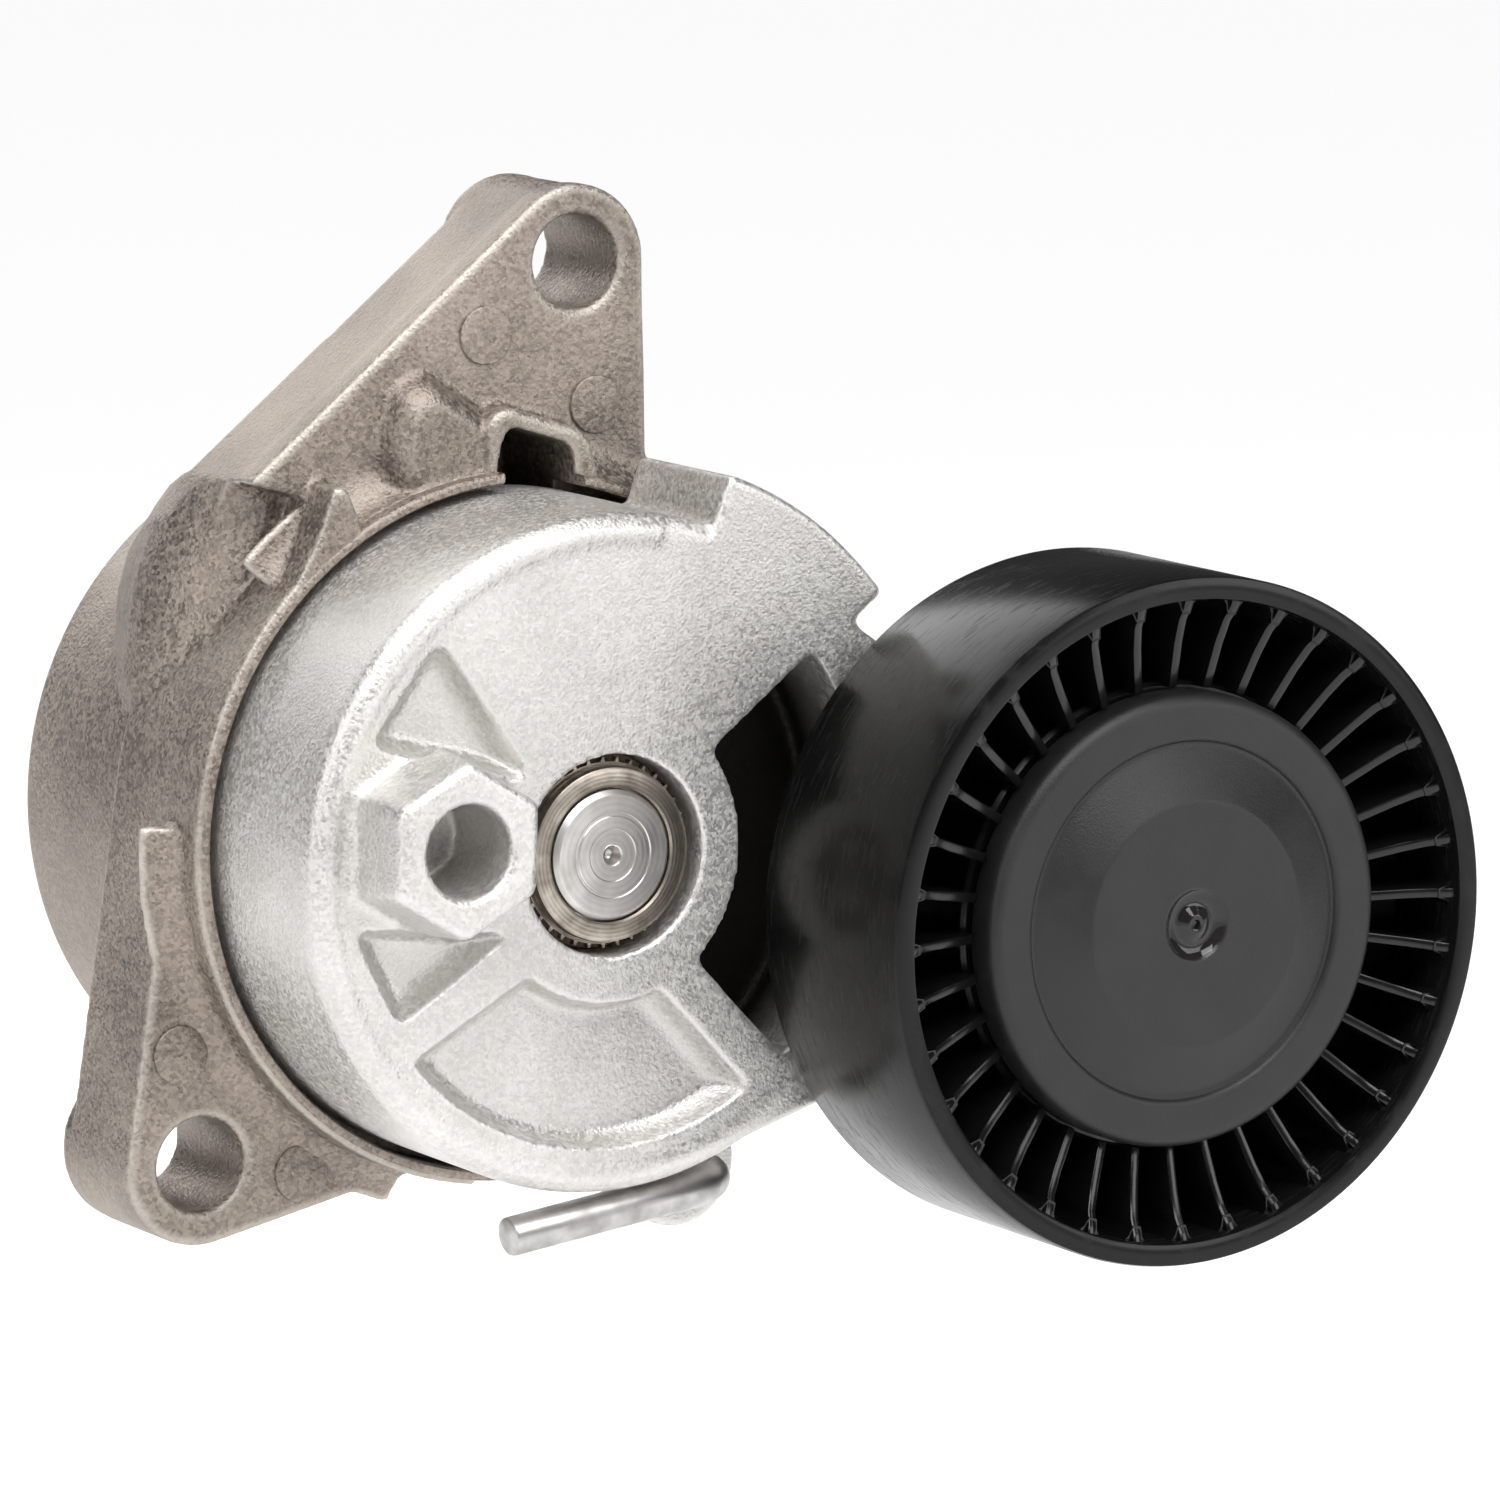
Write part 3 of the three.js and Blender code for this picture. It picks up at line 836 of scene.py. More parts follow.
class Finishes:
    """Every finish of the object, built once."""

    def __init__(self, pulley_centre: Point) -> None:
        """Builds the materials.

        Args:
            pulley_centre: X and Z of the pulley's axis, in millimetres.
        """
        self.cast_base = CastFinish(
            "cast_base", (0.4, 0.345, 0.3), (0.165, 0.138, 0.12), (0.7, 0.66, 0.6), 0.5, 0.38, 0.1,
            sparkle=0.42,
        ).material()
        self.cast_arm = CastFinish(
            "cast_arm", (0.72, 0.705, 0.68), (0.52, 0.505, 0.485), (0.84, 0.83, 0.82),
            0.46, 0.36, 0.07, sparkle=0.4, edge=0.3,
        ).material()
        self.shaft = TurnedFinish(
            "shaft", (0.64, 0.62, 0.6), (0.5, 0.48, 0.46), 0.3, 0.6, 0.003,
        ).material()
        self.worn = TurnedFinish(
            "worn_steel", (0.46, 0.41, 0.36), (0.2, 0.17, 0.14), 0.34, 0.4,
        ).material()
        self.pin = TurnedFinish(
            "pin", (0.52, 0.51, 0.5), (0.34, 0.33, 0.32), 0.32, 3.0, 0.004,
        ).material()
        self.spring = TurnedFinish("spring", (0.09, 0.09, 0.09), (0.04, 0.04, 0.04), 0.4).material()
        self.bearing = TurnedFinish(
            "bearing", (0.72, 0.72, 0.73), (0.55, 0.55, 0.56), 0.14, 0.4, 0.003, pulley_centre,
        ).material()
        self.bolt = TurnedFinish(
            "bolt", (0.5, 0.48, 0.44), (0.3, 0.28, 0.25), 0.3, 0.5, 0.006, pulley_centre,
        ).material()
        self.tread = TreadFinish("tread", (0.004, 0.004, 0.004), 0.22).material()
        self.ribs = MouldedFinish("ribs", (0.003, 0.003, 0.003), 0.16, 1.4, 0.02).material()
        self.cap = MouldedFinish(
            "cap", (0.011, 0.01, 0.0105), 0.42, 0.22, 0.035, gate=pulley_centre,
        ).material()
        self.damper = MouldedFinish("damper", (0.03, 0.03, 0.03), 0.5, 0.5, 0.02).material()
        self.bush = MouldedFinish("bush", (0.2, 0.15, 0.1), 0.5, 0.5, 0.01).material()
        self.seal = MouldedFinish("seal", (0.015, 0.015, 0.015), 0.6, 0.4, 0.01).material()


# ---- base -------------------------------------------------------------------


@dataclass
class Ear:
    """A round bolt ear of the base casting."""

    x: float
    z: float
    radius: float

    @property
    def centre(self) -> Point:
        """The hole's X and Z."""
        return self.x, self.z


@dataclass
class Base:
    """The cast base: cup, two ears, socket, horn and pin lug, with the pivot."""

    upper: Ear
    lower: Ear
    rim_front: float = -41.0
    plate_front: float = -35.5
    parting: float = -32.0
    plate_rear: float = -22.0
    ear_rear: float = -20.2
    cup_radius: float = 36.4
    hole_radius: float = 4.85
    cavity_radius: float = 32.3
    post_radius: float = 12.5
    shaft_radius: float = 8.2
    shaft_front: float = -59.8
    pin_centre: Point = (15.8, -35.5)
    band_radius: float = 36.85
    band_root: float = 1.6
    cove: float = 4.0
    voxel: float = 0.4

    def upper_web(self, grow: float = 0.0) -> list[Point]:
        """Outlines the upper web and its ear, grown outwards by `grow`."""
        ear = self.upper
        reach = ear.radius + grow
        return [
            (-27.7 - grow, 36.4), *arc(ear.centre, reach, 128.7, 0.0, 16),
            (18.4 + grow, 26.0), (0.0, 16.0), (-16.0, 26.0), (-20.6, 34.4),
        ]

    def web_blend(self, swell: float, size: float = 1.0) -> list[Point]:
        """Outlines the sweep from the upper web into the cup.

        Args:
            swell: 0 for its slim front, 1 for its full rear.
            size: scale about the pivot axis.

        Returns:
            The outline.
        """
        slim = ((-24.0, 34.0), (-25.4, 29.6), (-27.6, 25.0), (-29.6, 21.2), (-31.2, 18.0))
        full = ((-31.0, 31.8), (-33.0, 26.4), (-34.2, 20.6), (-34.9, 14.8), (-34.7, 10.4))
        sweep = [(a + (c - a) * swell, b + (d - b) * swell) for (a, b), (c, d) in zip(slim, full)]
        outline = [(-14.0, 40.0), (-27.7, 36.3), *sweep, polar(30.0, 150.0), (-10.0, 24.0)]
        return [(x * size, z * size) for x, z in outline]

    def lower_web(self) -> list[Point]:
        """Outlines the lower web and its ear, tangent to the raised band."""
        ear = self.lower
        return [
            polar(self.band_radius, 170.6), *arc(ear.centre, ear.radius, 170.6, 180.0, 2),
            *arc(ear.centre, ear.radius, 186.0, 282.2, 16),
            (-4.0, -34.3), (-4.0, -22.0), (-24.0, 0.0),
        ]

    def cup(self) -> Blank:
        """Returns the spun cup with its cavity and hub post."""
        r, rim, cavity = self.cup_radius, self.rim_front, self.cavity_radius
        bore = r - 1.1
        return Blank().turned([
            (self.shaft_radius + 0.1, -32.5), (self.post_radius - 0.4, -32.5),
            (self.post_radius, -32.1), (self.post_radius, -3.0), (cavity, -3.0), (cavity, -33.5),
            (bore, -33.5), (bore, rim + 0.25), (bore + 0.2, rim), (r - 0.45, rim),
            (r - 0.12, rim + 0.15), (r, rim + 0.5), (r, self.plate_rear), (r - 0.4, -1.9),
            (r - 0.55, -1.1), (r - 1.0, -0.4), (r - 1.8, 0.0), (self.shaft_radius + 0.1, 0.0),
        ], 192)

    def _bands(self, solids: Blank) -> None:
        """Adds the raised band on the cup's left side and the coves at the webs' feet."""
        r = self.cup_radius
        inner = r - self.band_root
        front = self.rim_front + 0.15
        for start, stop, rear in ((146.0, 180.0, self.plate_rear), (119.0, 148.4, self.parting)):
            zone = sector(inner, self.band_radius, start, stop, 20)
            solids.plate(zone, front, rear, 0.35)
        zone = sector(inner, self.band_radius, 178.0, 262.0, 48)
        solids.plate(zone, front, self.plate_front + 2.0, 0.3)
        reach = self.cove
        bend = [
            (
                r + reach - reach * math.cos(math.radians(a)),
                self.plate_front - reach * (1 - math.sin(math.radians(a))),
            )
            for a in range(0, 91, 10)
        ]
        back = self.plate_front + 1.0
        foot = [(inner, back), (inner, self.plate_front - reach), *bend, (r + reach, back)]
        for start, stop in ((50.0, 135.0), (176.0, 252.0)):
            solids.swept(foot, start, stop)

    def _webs(self, solids: Blank) -> None:
        """Adds the webs; the upper one in two halves, which leaves its parting line."""
        solids.plate(self.upper_web(), self.plate_front, self.parting, 0.5)
        solids.plate(self.upper_web(-0.2), self.plate_front + 1.0, self.plate_rear, 0.6)
        solids.plate(self.lower_web(), self.plate_front, self.plate_rear, 0.55)
        solids.lofted([
            (depth, self.web_blend(swell, size))
            for depth, swell, size in (
                (self.parting, 0.0, 1.0), (-30.5, 0.3, 1.0), (-28.5, 0.58, 1.0), (-26.0, 0.8, 1.0),
                (-23.0, 0.94, 1.0), (-20.0, 1.0, 0.985), (-15.0, 1.0, 0.94), (-9.0, 1.0, 0.875),
                (-3.5, 1.0, 0.81),
            )
        ])
        gusset = [(-27.7, 36.4), (-12.0, 48.9), (-8.0, 30.0), (-24.9, 16.8)]
        solids.plate(gusset, self.plate_rear - 0.5, -3.5, taper=0.8, about=(0.0, 0.0, 0.0))
        for ear in (self.upper, self.lower):
            pad = ear.radius - 0.1
            solids.rod(ear.centre, self.plate_rear - 1.0, self.ear_rear, pad, bevel=0.4)

    def _horn_and_socket(self, solids: Blank) -> None:
        """Adds the curved horn, the socket's wall and the bulge beside it."""
        front = self.rim_front
        horn = [
            polar(self.band_radius - 1.0, 140.0), polar(self.band_radius, 138.0), (-25.4, 26.6),
            (-22.6, 31.6), (-20.9, 36.2), (-19.4, 36.2), (-17.3, 30.9), (-18.4, 28.4),
        ]
        solids.plate(horn, front + 0.1, self.parting, 0.45)
        wall = [
            (-3.6, 28.0), (10.6, 28.0), (10.3, 35.6), (9.4, 38.9), (8.0, 40.2), (0.2, 42.8),
            (-1.6, 42.4), (-2.7, 41.0), (-3.4, 35.0),
        ]
        solids.plate(wall, front + 1.5, self.plate_front + 1.0, 0.6)
        bulge = rounded([(-1.0, 30.0), (-1.0, 42.0), (-8.1, 46.6), (-11.8, 45.2), (-13.6, 39.6),
                         (-12.6, 34.0)], 1.8)
        solids.dished(bulge, self.plate_front + 1.0, self.plate_front - 0.4, -3.2, 0.6)

    def _pin_lug(self, solids: Blank) -> None:
        """Adds the lug that the lock pin's tip reaches for."""
        x, z = self.pin_centre
        lug = [
            (5.0, -30.0), (x - 5.7, z), (x - 3.4, z - 4.6), (x + 3.4, z - 4.6), (x + 5.7, z),
            (24.0, -22.0), (14.0, -22.0),
        ]
        solids.plate(lug, self.plate_front, self.plate_front + 6.0, 0.5)

    def _cutters(self) -> Blank:
        """Returns the cup's inside, the bolt holes, the socket and the pin's hole."""
        cutters = Blank()
        bore = self.cup_radius - 0.7
        wall = self.cavity_radius + 0.5
        cutters.turned([
            (0.0, -1.0), (wall, -1.0), (wall, -34.0), (bore, -34.0), (bore, self.rim_front - 1.0),
            (0.0, self.rim_front - 1.0),
        ], 160, closed=False)
        for ear in (self.upper, self.lower):
            cutters.rod(ear.centre, self.plate_front - 2.0, self.ear_rear + 2.0, self.hole_radius)
            cutters.rod(
                ear.centre, self.plate_front - 0.8, self.plate_front + 0.6,
                self.hole_radius + 1.2, self.hole_radius - 0.1,
            )
        cutters.rod(self.pin_centre, self.plate_front - 1.0, self.plate_front + 7.0, 2.6, sides=24)
        cutters.take(self._socket())
        return cutters

    @staticmethod
    def _socket() -> Blank:
        """Returns the socket's hollow."""
        outline = [
            (-2.0, 26.0), (8.2, 26.0), (7.9, 34.0), (7.3, 38.0), (6.5, 38.9), (0.6, 40.8),
            (-0.4, 40.3), (-1.0, 38.9), (-1.9, 34.0),
        ]
        return Blank().plate(outline, -42.0, -24.0)

    def housing(self, looks: Finishes) -> bpy.types.Object:
        """Builds the base casting: crisp spun cup with the fused webs around it."""
        solids = Blank()
        self._bands(solids)
        self._webs(solids)
        self._horn_and_socket(solids)
        self._pin_lug(solids)
        webs = cast(solids, self._cutters(), self.voxel, 3, 0.8)
        mark_edges(webs, 0.05)
        cup = carved(self.cup(), self._socket())
        whole = Blank()
        for mesh in (webs, cup):
            whole.bm.from_mesh(mesh)
        mesh = whole.mesh("base_casting")
        return piece(
            "base_casting", mesh, Body.BASE, looks.cast_base, ["base_housing"],
            50.0,
        )

    def ejector_marks(self, looks: Finishes) -> bpy.types.Object:
        """Builds the low round marks that ejector pins left on the webs."""
        marks = Blank()
        for centre in ((-0.7, 49.8), (12.1, 42.0), (-36.2, -20.7), (-22.6, -34.2)):
            marks.rod(centre, self.plate_front - 0.36, self.plate_front + 0.5, 3.0, bevel=0.15)
        mesh = marks.mesh("base_ejector_marks")
        return piece("base_ejector_marks", mesh, Body.BASE, looks.cast_base)

    def shaft(self, looks: Finishes) -> bpy.types.Object:
        """Builds the turned pivot shaft with its centre drilling."""
        nose = 6.6
        front = self.shaft_front
        profile = [
            (0.0, front + 1.5), (0.5, front + 1.2), (0.95, front + 0.1), (1.1, front + 0.02),
            (1.15, front + 0.12), (2.6, front + 0.12), (2.7, front), (3.9, front),
            (4.0, front + 0.1),
            (4.3, front + 0.1), (4.4, front), (nose - 0.5, front), (nose, front + 0.5),
            (nose, front + 1.9), (self.shaft_radius, front + 1.9), (self.shaft_radius, -0.4),
            (self.shaft_radius - 0.4, 0.0), (0.0, 0.0),
        ]
        mesh = Blank().turned(profile, 96, closed=False).mesh("shaft")
        return piece("shaft", mesh, Body.BASE, looks.shaft, ["pivot_shaft"])

    def washer(self, looks: Finishes) -> bpy.types.Object:
        """Builds the worn thrust washer round the shaft's nose."""
        profile = [
            (6.85, -59.3), (7.05, -59.5), (8.45, -59.5), (8.8, -59.3), (8.9, -58.9), (8.9, -58.2),
            (6.85, -58.2),
        ]
        mesh = Blank().turned(profile, 96).mesh("washer")
        return piece("washer", mesh, Body.BASE, looks.worn, ["front_thrust_washer"])

    def lock_ring(self, looks: Finishes) -> bpy.types.Object:
        """Builds the ring with small teeth behind the washer."""
        blank = Blank().turned([(8.4, -57.9), (9.2, -57.9), (9.2, -57.0), (8.4, -57.0)], 96)

        def tooth(one: Blank) -> None:
            """Adds one tooth."""
            side = [(9.0, -0.28), (9.7, -0.16), (9.7, 0.16), (9.0, 0.28)]
            one.plate(side, -57.85, -57.05, 0.06, 1)

        blank.around(tooth, 36, (0.0, 0.0))
        mesh = blank.mesh("toothed_ring")
        return piece("toothed_ring", mesh, Body.BASE, looks.worn, ["serrated_lock_ring"])

    def spring(self, looks: Finishes) -> bpy.types.Object:
        """Builds the torsion spring as one long coil."""
        blank = Blank()
        wire, coil, front, rear, turns = 2.2, 25.4, -40.6, -7.8, 5.25
        circle = bmesh.ops.create_circle(
            blank.bm, cap_ends=True, segments=16, radius=wire,
            matrix=Matrix.Translation((coil, front, 0.0)),
        )
        geom = circle["verts"] + list(blank.bm.edges) + list(blank.bm.faces)
        steps = int(turns * 48)
        bmesh.ops.spin(
            blank.bm, geom=geom, cent=(0.0, 0.0, 0.0), axis=Y_AXIS,
            dvec=(0.0, (rear - front) / steps, 0.0), angle=-math.tau * turns, steps=steps,
            use_merge=False, use_duplicate=False, use_normal_flip=False, space=Matrix.Identity(4),
        )
        bmesh.ops.recalc_face_normals(blank.bm, faces=blank.bm.faces)
        mesh = blank.mesh("coil_spring")
        return piece("coil_spring", mesh, Body.BASE, looks.spring, ["torsion_spring"])

    def inner_rings(self, looks: Finishes) -> list[bpy.types.Object]:
        """Builds the damper sleeve, the spring seats and the rear washer."""
        damper = (Slot.DAMPER, looks.damper)
        rings = (
            ("damper", (29.2, 30.9, -43.0, -14.0), damper, "damper_sleeve"),
            ("seat_front", (14.2, 28.6, -45.1, -43.6), damper, "front_spring_seat"),
            ("seat_rear", (13.0, 30.0, -5.2, -3.3), damper, "rear_spring_seat"),
            ("washer_rear", (8.5, 12.3, -33.8, -32.8), (Slot.BUSH, looks.bush),
             "rear_thrust_washer"),
        )
        built = []
        for name, sizes, (slot, look), node in rings:
            mesh = Blank().turned(ring_profile(*sizes, 0.2), 96).mesh(name)
            built.append(piece(name, mesh, Body.BASE, look, [node]))
        return built

    def build(self, looks: Finishes) -> None:
        """Builds every piece of the base."""
        self.housing(looks)
        self.ejector_marks(looks)
        self.shaft(looks)
        self.washer(looks)
        self.lock_ring(looks)
        self.spring(looks)
        self.inner_rings(looks)


def ring_profile(inner: float, outer: float, front: float, rear: float, edge: float) -> list[Point]:
    """Returns the profile of a plain ring with its corners broken by `edge`."""
    return [
        (inner, front + edge), (inner + edge, front), (outer - edge, front), (outer, front + edge),
        (outer, rear - edge), (outer - edge, rear), (inner + edge, rear), (inner, rear - edge),
    ]


# ---- arm --------------------------------------------------------------------


@dataclass
class Arm:
    """The cast arm: drum, wrench boss, neck, spigot and pin lug."""

    pulley_centre: Point
    face: float = -60.1
    drum_radius: float = 34.4
    drum_rear: float = -34.1
    bore_radius: float = 31.3
    hub_radius: float = 13.4
    hex_centre: Point = (-21.0, 3.4)
    hex_front: float = -68.5
    pin_centre: Point = (15.8, -35.5)
    lug_radius: float = 6.7
    spigot_front: float = -80.8
    voxel: float = 0.42

    def _drum(self, solids: Blank) -> None:
        """Adds the drum, with a rounded front edge, and the raised block on it."""
        r, face = self.drum_radius, self.face
        solids.turned([
            (0.0, face), (r - 1.7, face), (r - 1.0, face + 0.15), (r - 0.4, face + 0.6),
            (r - 0.1, face + 1.2), (r, face + 2.0), (r, self.drum_rear), (0.0, self.drum_rear),
        ], 160, closed=False)
        solids.plate(sector(28.0, 39.8, 37.4, 70.0, 16), face, -41.6, 0.5)
        solids.plate(sector(31.6, 33.2, 80.0, 318.0, 72), face - 0.28, face + 1.0, 0.25)

    def _neck(self, solids: Blank) -> None:
        """Adds the neck, the boss under the pulley and the spigot."""
        centre = self.pulley_centre
        outline = [
            (24.0, 24.0), (28.4, 22.6), (28.6, 21.0), (32.0, 18.6),
            *arc(centre, 11.6, 52.0, -71.5, 16), polar(33.6, -71.5), (8.0, -22.0), (10.0, 10.0),
        ]
        solids.plate(outline, self.face, -46.0, 0.7)
        solids.rod(centre, -67.6, self.face + 1.0, 11.6, sides=72, bevel=0.4)
        solids.rod(centre, self.spigot_front, self.face, 8.4, sides=72, bevel=0.4)

    def _hex_boss(self, solids: Blank) -> None:
        """Adds the hexagon boss with rounded corners and a flared foot."""
        solids.rod(
            self.hex_centre, self.hex_front, self.face + 1.0, 8.95, 9.8, 6, -2.0,
            bevel=0.8, over=40.0,
        )
        solids.rod(self.hex_centre, self.face - 0.7, self.face + 1.0, 9.7, 11.2, 6, -2.0)

    def _pin_lug(self, solids: Blank) -> None:
        """Adds the round lug that carries the lock pin."""
        centre = self.pin_centre
        outline = [
            (-1.0, -32.5), (2.5, -34.6), (6.5, -36.8),
            *arc(centre, self.lug_radius, 236.0, 372.0, 16),
            (22.6, -31.0), (23.2, -27.0), (22.0, -23.6), (18.0, -23.6),
        ]
        solids.plate(outline, -45.8, -41.6, 0.5)

    @staticmethod
    def pockets() -> list[list[Point]]:
        """Outlines the three shallow pockets where they meet the drum's face."""
        here = (0.0, 0.0)
        upper = rounded([(-19.6, 23.4), (-27.6, 13.2), (-9.4, 8.4)], 2.2)
        lower = rounded([(-29.6, -4.8), (-24.5, -15.0), (-11.8, -6.8)], 1.8)
        fan = rounded([*arc(here, 29.6, 219.0, 302.0, 14), *arc(here, 15.0, 291.0, 229.0, 8)], 0.9)
        return [upper, lower, fan]

    def _cutters(self) -> Blank:
        """Returns the pockets, the holes and the hidden hollow."""
        face = self.face
        cutters = Blank()
        back = self.drum_rear + 1.0
        cutters.turned([
            (self.hub_radius, -44.9), (self.bore_radius, -44.9), (self.bore_radius, back),
            (self.hub_radius, back),
        ], 128)
        cutters.plate(sector(14.9, 29.0, 313.0, 397.6, 20), -48.4, face - 1.4, 1.3, 3, taper=1.07)
        for outline, shrink in zip(self.pockets(), (0.64, 0.56, 0.82)):
            cutters.dished(outline, face - 1.2, face + 0.3, 2.4, shrink)
        cutters.rod((0.0, 0.0), face - 1.0, -56.4, 10.2, sides=96)
        cutters.rod((0.0, 0.0), -57.0, back, 10.05, sides=96)
        cutters.rod(self.hex_centre, self.hex_front - 1.0, face + 3.0, 4.7)
        cutters.rod(self.hex_centre, self.hex_front - 0.3, self.hex_front + 0.5, 5.5, 4.6)
        cutters.rod(self.pin_centre, -47.0, -40.0, 2.3, sides=24)
        cutters.rod(self.pulley_centre, self.spigot_front - 1.0, -44.0, 5.2)
        return cutters

    def casting(self, looks: Finishes) -> bpy.types.Object:
        """Builds the arm casting."""
        solids = Blank()
        self._drum(solids)
        self._neck(solids)
        self._hex_boss(solids)
        self._pin_lug(solids)
        mesh = cast(solids, self._cutters(), self.voxel, 3, 0.6)
        mark_edges(mesh, 0.045)
        # paints shade into the deep pocket beside the shaft, which the pulley shadows
        mark_pocket_shade(mesh, 14.4, 30.5, self.face + 3.2, self.face + 10.0)
        return piece(
            "arm_casting", mesh, Body.ARM, looks.cast_arm, ["tensioner_arm"], 60.0,
        )

    def bush(self, looks: Finishes) -> bpy.types.Object:
        """Builds the plain bush between the arm and the shaft."""
        mesh = Blank().turned(ring_profile(8.27, 9.95, -56.1, -34.9, 0.15), 96).mesh("bush")
        return piece("bush", mesh, Body.ARM, looks.bush, ["pivot_bush"])

    def bolt(self, looks: Finishes) -> bpy.types.Object:
        """Builds the flanged hexagon bolt that holds the bearing."""
        centre = self.pulley_centre
        blank = Blank().turned([
            (0.0, -83.4), (6.4, -83.4), (7.4, -83.2), (10.6, -82.0), (10.8, -81.8), (10.8, -81.6),
            (5.0, -81.6), (5.0, -47.5), (4.5, -47.0), (0.0, -47.0),
        ], 72, centre, closed=False)
        blank.rod(centre, -86.4, -83.0, 7.4, sides=6, bevel=0.25)
        mesh = blank.mesh("bolt")
        return piece("bolt", mesh, Body.ARM, looks.bolt, ["pulley_bolt"])

    def dust_shield(self, looks: Finishes) -> bpy.types.Object:
        """Builds the pressed shield behind the bearing."""
        profile = [(8.6, -69.1), (12.0, -69.1), (16.6, -68.5), (16.6, -67.8), (8.6, -67.9)]
        mesh = Blank().turned(profile, 96, self.pulley_centre).mesh("shield")
        return piece("shield", mesh, Body.ARM, looks.bolt, ["rear_dust_shield"])

    def build(self, looks: Finishes) -> None:
        """Builds every piece of the arm."""
        self.casting(looks)
        self.bush(looks)
        self.bolt(looks)
        self.dust_shield(looks)


# ---- pulley and bearing -----------------------------------------------------


@dataclass
class Pulley:
    """The moulded wheel, its dust cap and the ball bearing inside."""

    centre: Point
    radius: float
    front: float
    rear: float
    rib_count: int = 36
    ball_count: int = 8
    ball_radius: float = 3.3
    ball_circle: float = 14.2
    groove: float = 3.45
    bore: float = 8.55
    seat: float = 20.0

    @property
    def bearing_front(self) -> float:
        """Depth of the bearing's front face."""
        return self.front + 6.6

    @property
    def bearing_rear(self) -> float:
        """Depth of the bearing's rear face."""
        return self.bearing_front + 12.0

    def wheel(self, looks: Finishes) -> None:
        """Builds the rim, and the hub with its web and ribs."""
        front, rear, radius = self.front, self.rear, self.radius
        rim_in = radius - 2.4
        rim = Blank().turned([
            (rim_in, front + 0.5), (rim_in + 0.15, front + 0.15), (rim_in + 0.5, front),
            (radius - 0.6, front), (radius - 0.15, front + 0.15), (radius, front + 0.6),
            (radius, rear - 0.6), (radius - 0.15, rear - 0.15), (radius - 0.6, rear),
            (rim_in, rear),
        ], 192, self.centre)
        piece(
            "pulley_rim", rim.mesh("pulley_rim"), Body.PULLEY, looks.tread,
            ["pulley_wheel"],
        )
        hub = Blank()
        web = ring_profile(23.0, rim_in + 0.6, front + 11.2, front + 14.0, 0.1)
        sleeve = ring_profile(self.seat + 0.12, 23.8, front + 5.6, front + 20.5, 0.4)
        for profile in (web, sleeve):
            hub.turned(profile, 144, self.centre)
        x, z = self.centre

        def rib(one: Blank) -> None:
            """Adds one rib, with its foot flared into the rim."""
            side = [
                (23.4, front + 3.9), (28.0, front + 3.0), (30.4, front + 2.2), (31.8, front + 1.3),
                (rim_in + 0.4, front + 0.9), (rim_in + 0.4, rear - 1.4), (23.4, rear - 4.0),
            ]
            one.prism([(x + r, y, z - 0.5) for r, y in side], (0.0, 0.0, 1.0), 0.2, 2)
            flare = [
                (rim_in + 0.3, -1.5), (rim_in - 0.5, -0.8), (rim_in - 1.5, -0.45),
                (rim_in - 1.5, 0.45), (rim_in - 0.5, 0.8), (rim_in + 0.3, 1.5),
            ]
            one.prism([(x + r, front + 1.6, z + s) for r, s in flare], (0.0, 9.8, 0.0))

        hub.around(rib, self.rib_count, self.centre)
        piece("pulley_hub", hub.mesh("pulley_hub"), Body.PULLEY, looks.ribs)

    def cap(self, looks: Finishes) -> bpy.types.Object:
        """Builds the raised dust cap with its gate mark."""
        top = self.front - 0.7
        profile = [
            (0.0, top + 0.6), (0.35, top + 0.58), (0.5, top + 0.12), (0.8, top + 0.03),
            (1.0, top + 0.08), (1.8, top + 0.62), (2.1, top + 0.7), (2.9, top + 0.66),
            (3.5, top + 0.2), (3.7, top + 0.03), (3.9, top), (4.2, top), (12.0, top),
            (12.3, top), (12.5, top + 0.03), (12.7, top + 0.11), (13.0, top + 0.24),
            (17.4, top + 2.17), (17.7, top + 2.3),
            (17.95, top + 2.38), (18.15, top + 2.36), (18.3, top + 2.12), (18.5, top + 1.98),
            (18.8, top + 1.92), (19.1, top + 1.92), (21.5, top + 1.86), (21.9, top + 1.88),
            (22.4, top + 2.02), (22.8, top + 2.35), (23.0, top + 2.8), (23.1, top + 3.4),
            (23.1, top + 5.6), (21.4, top + 5.6), (20.9, top + 4.0), (17.6, top + 4.0),
            (12.2, top + 1.8), (0.0, top + 1.7),
        ]
        mesh = Blank().turned(profile, 160, self.centre, closed=False).mesh("cap")
        return piece("cap", mesh, Body.PULLEY, looks.cap, ["dust_cap"])

    def _race(self, shoulder: float, bore: float) -> Blank:
        """Returns a bearing ring whose groove fits the balls."""
        middle = (self.bearing_front + self.bearing_rear) / 2
        side = math.copysign(1.0, shoulder - self.ball_circle)
        half = math.degrees(math.acos(abs(shoulder - self.ball_circle) / self.groove))
        groove = []
        for i in range(13):
            angle = math.radians(-half + 2 * half * i / 12)
            groove.append((
                self.ball_circle + side * self.groove * math.cos(angle),
                middle + self.groove * math.sin(angle),
            ))
        return Blank().turned([
            (bore, self.bearing_front), (shoulder, self.bearing_front), *groove,
            (shoulder, self.bearing_rear), (bore, self.bearing_rear),
        ], 96, self.centre)

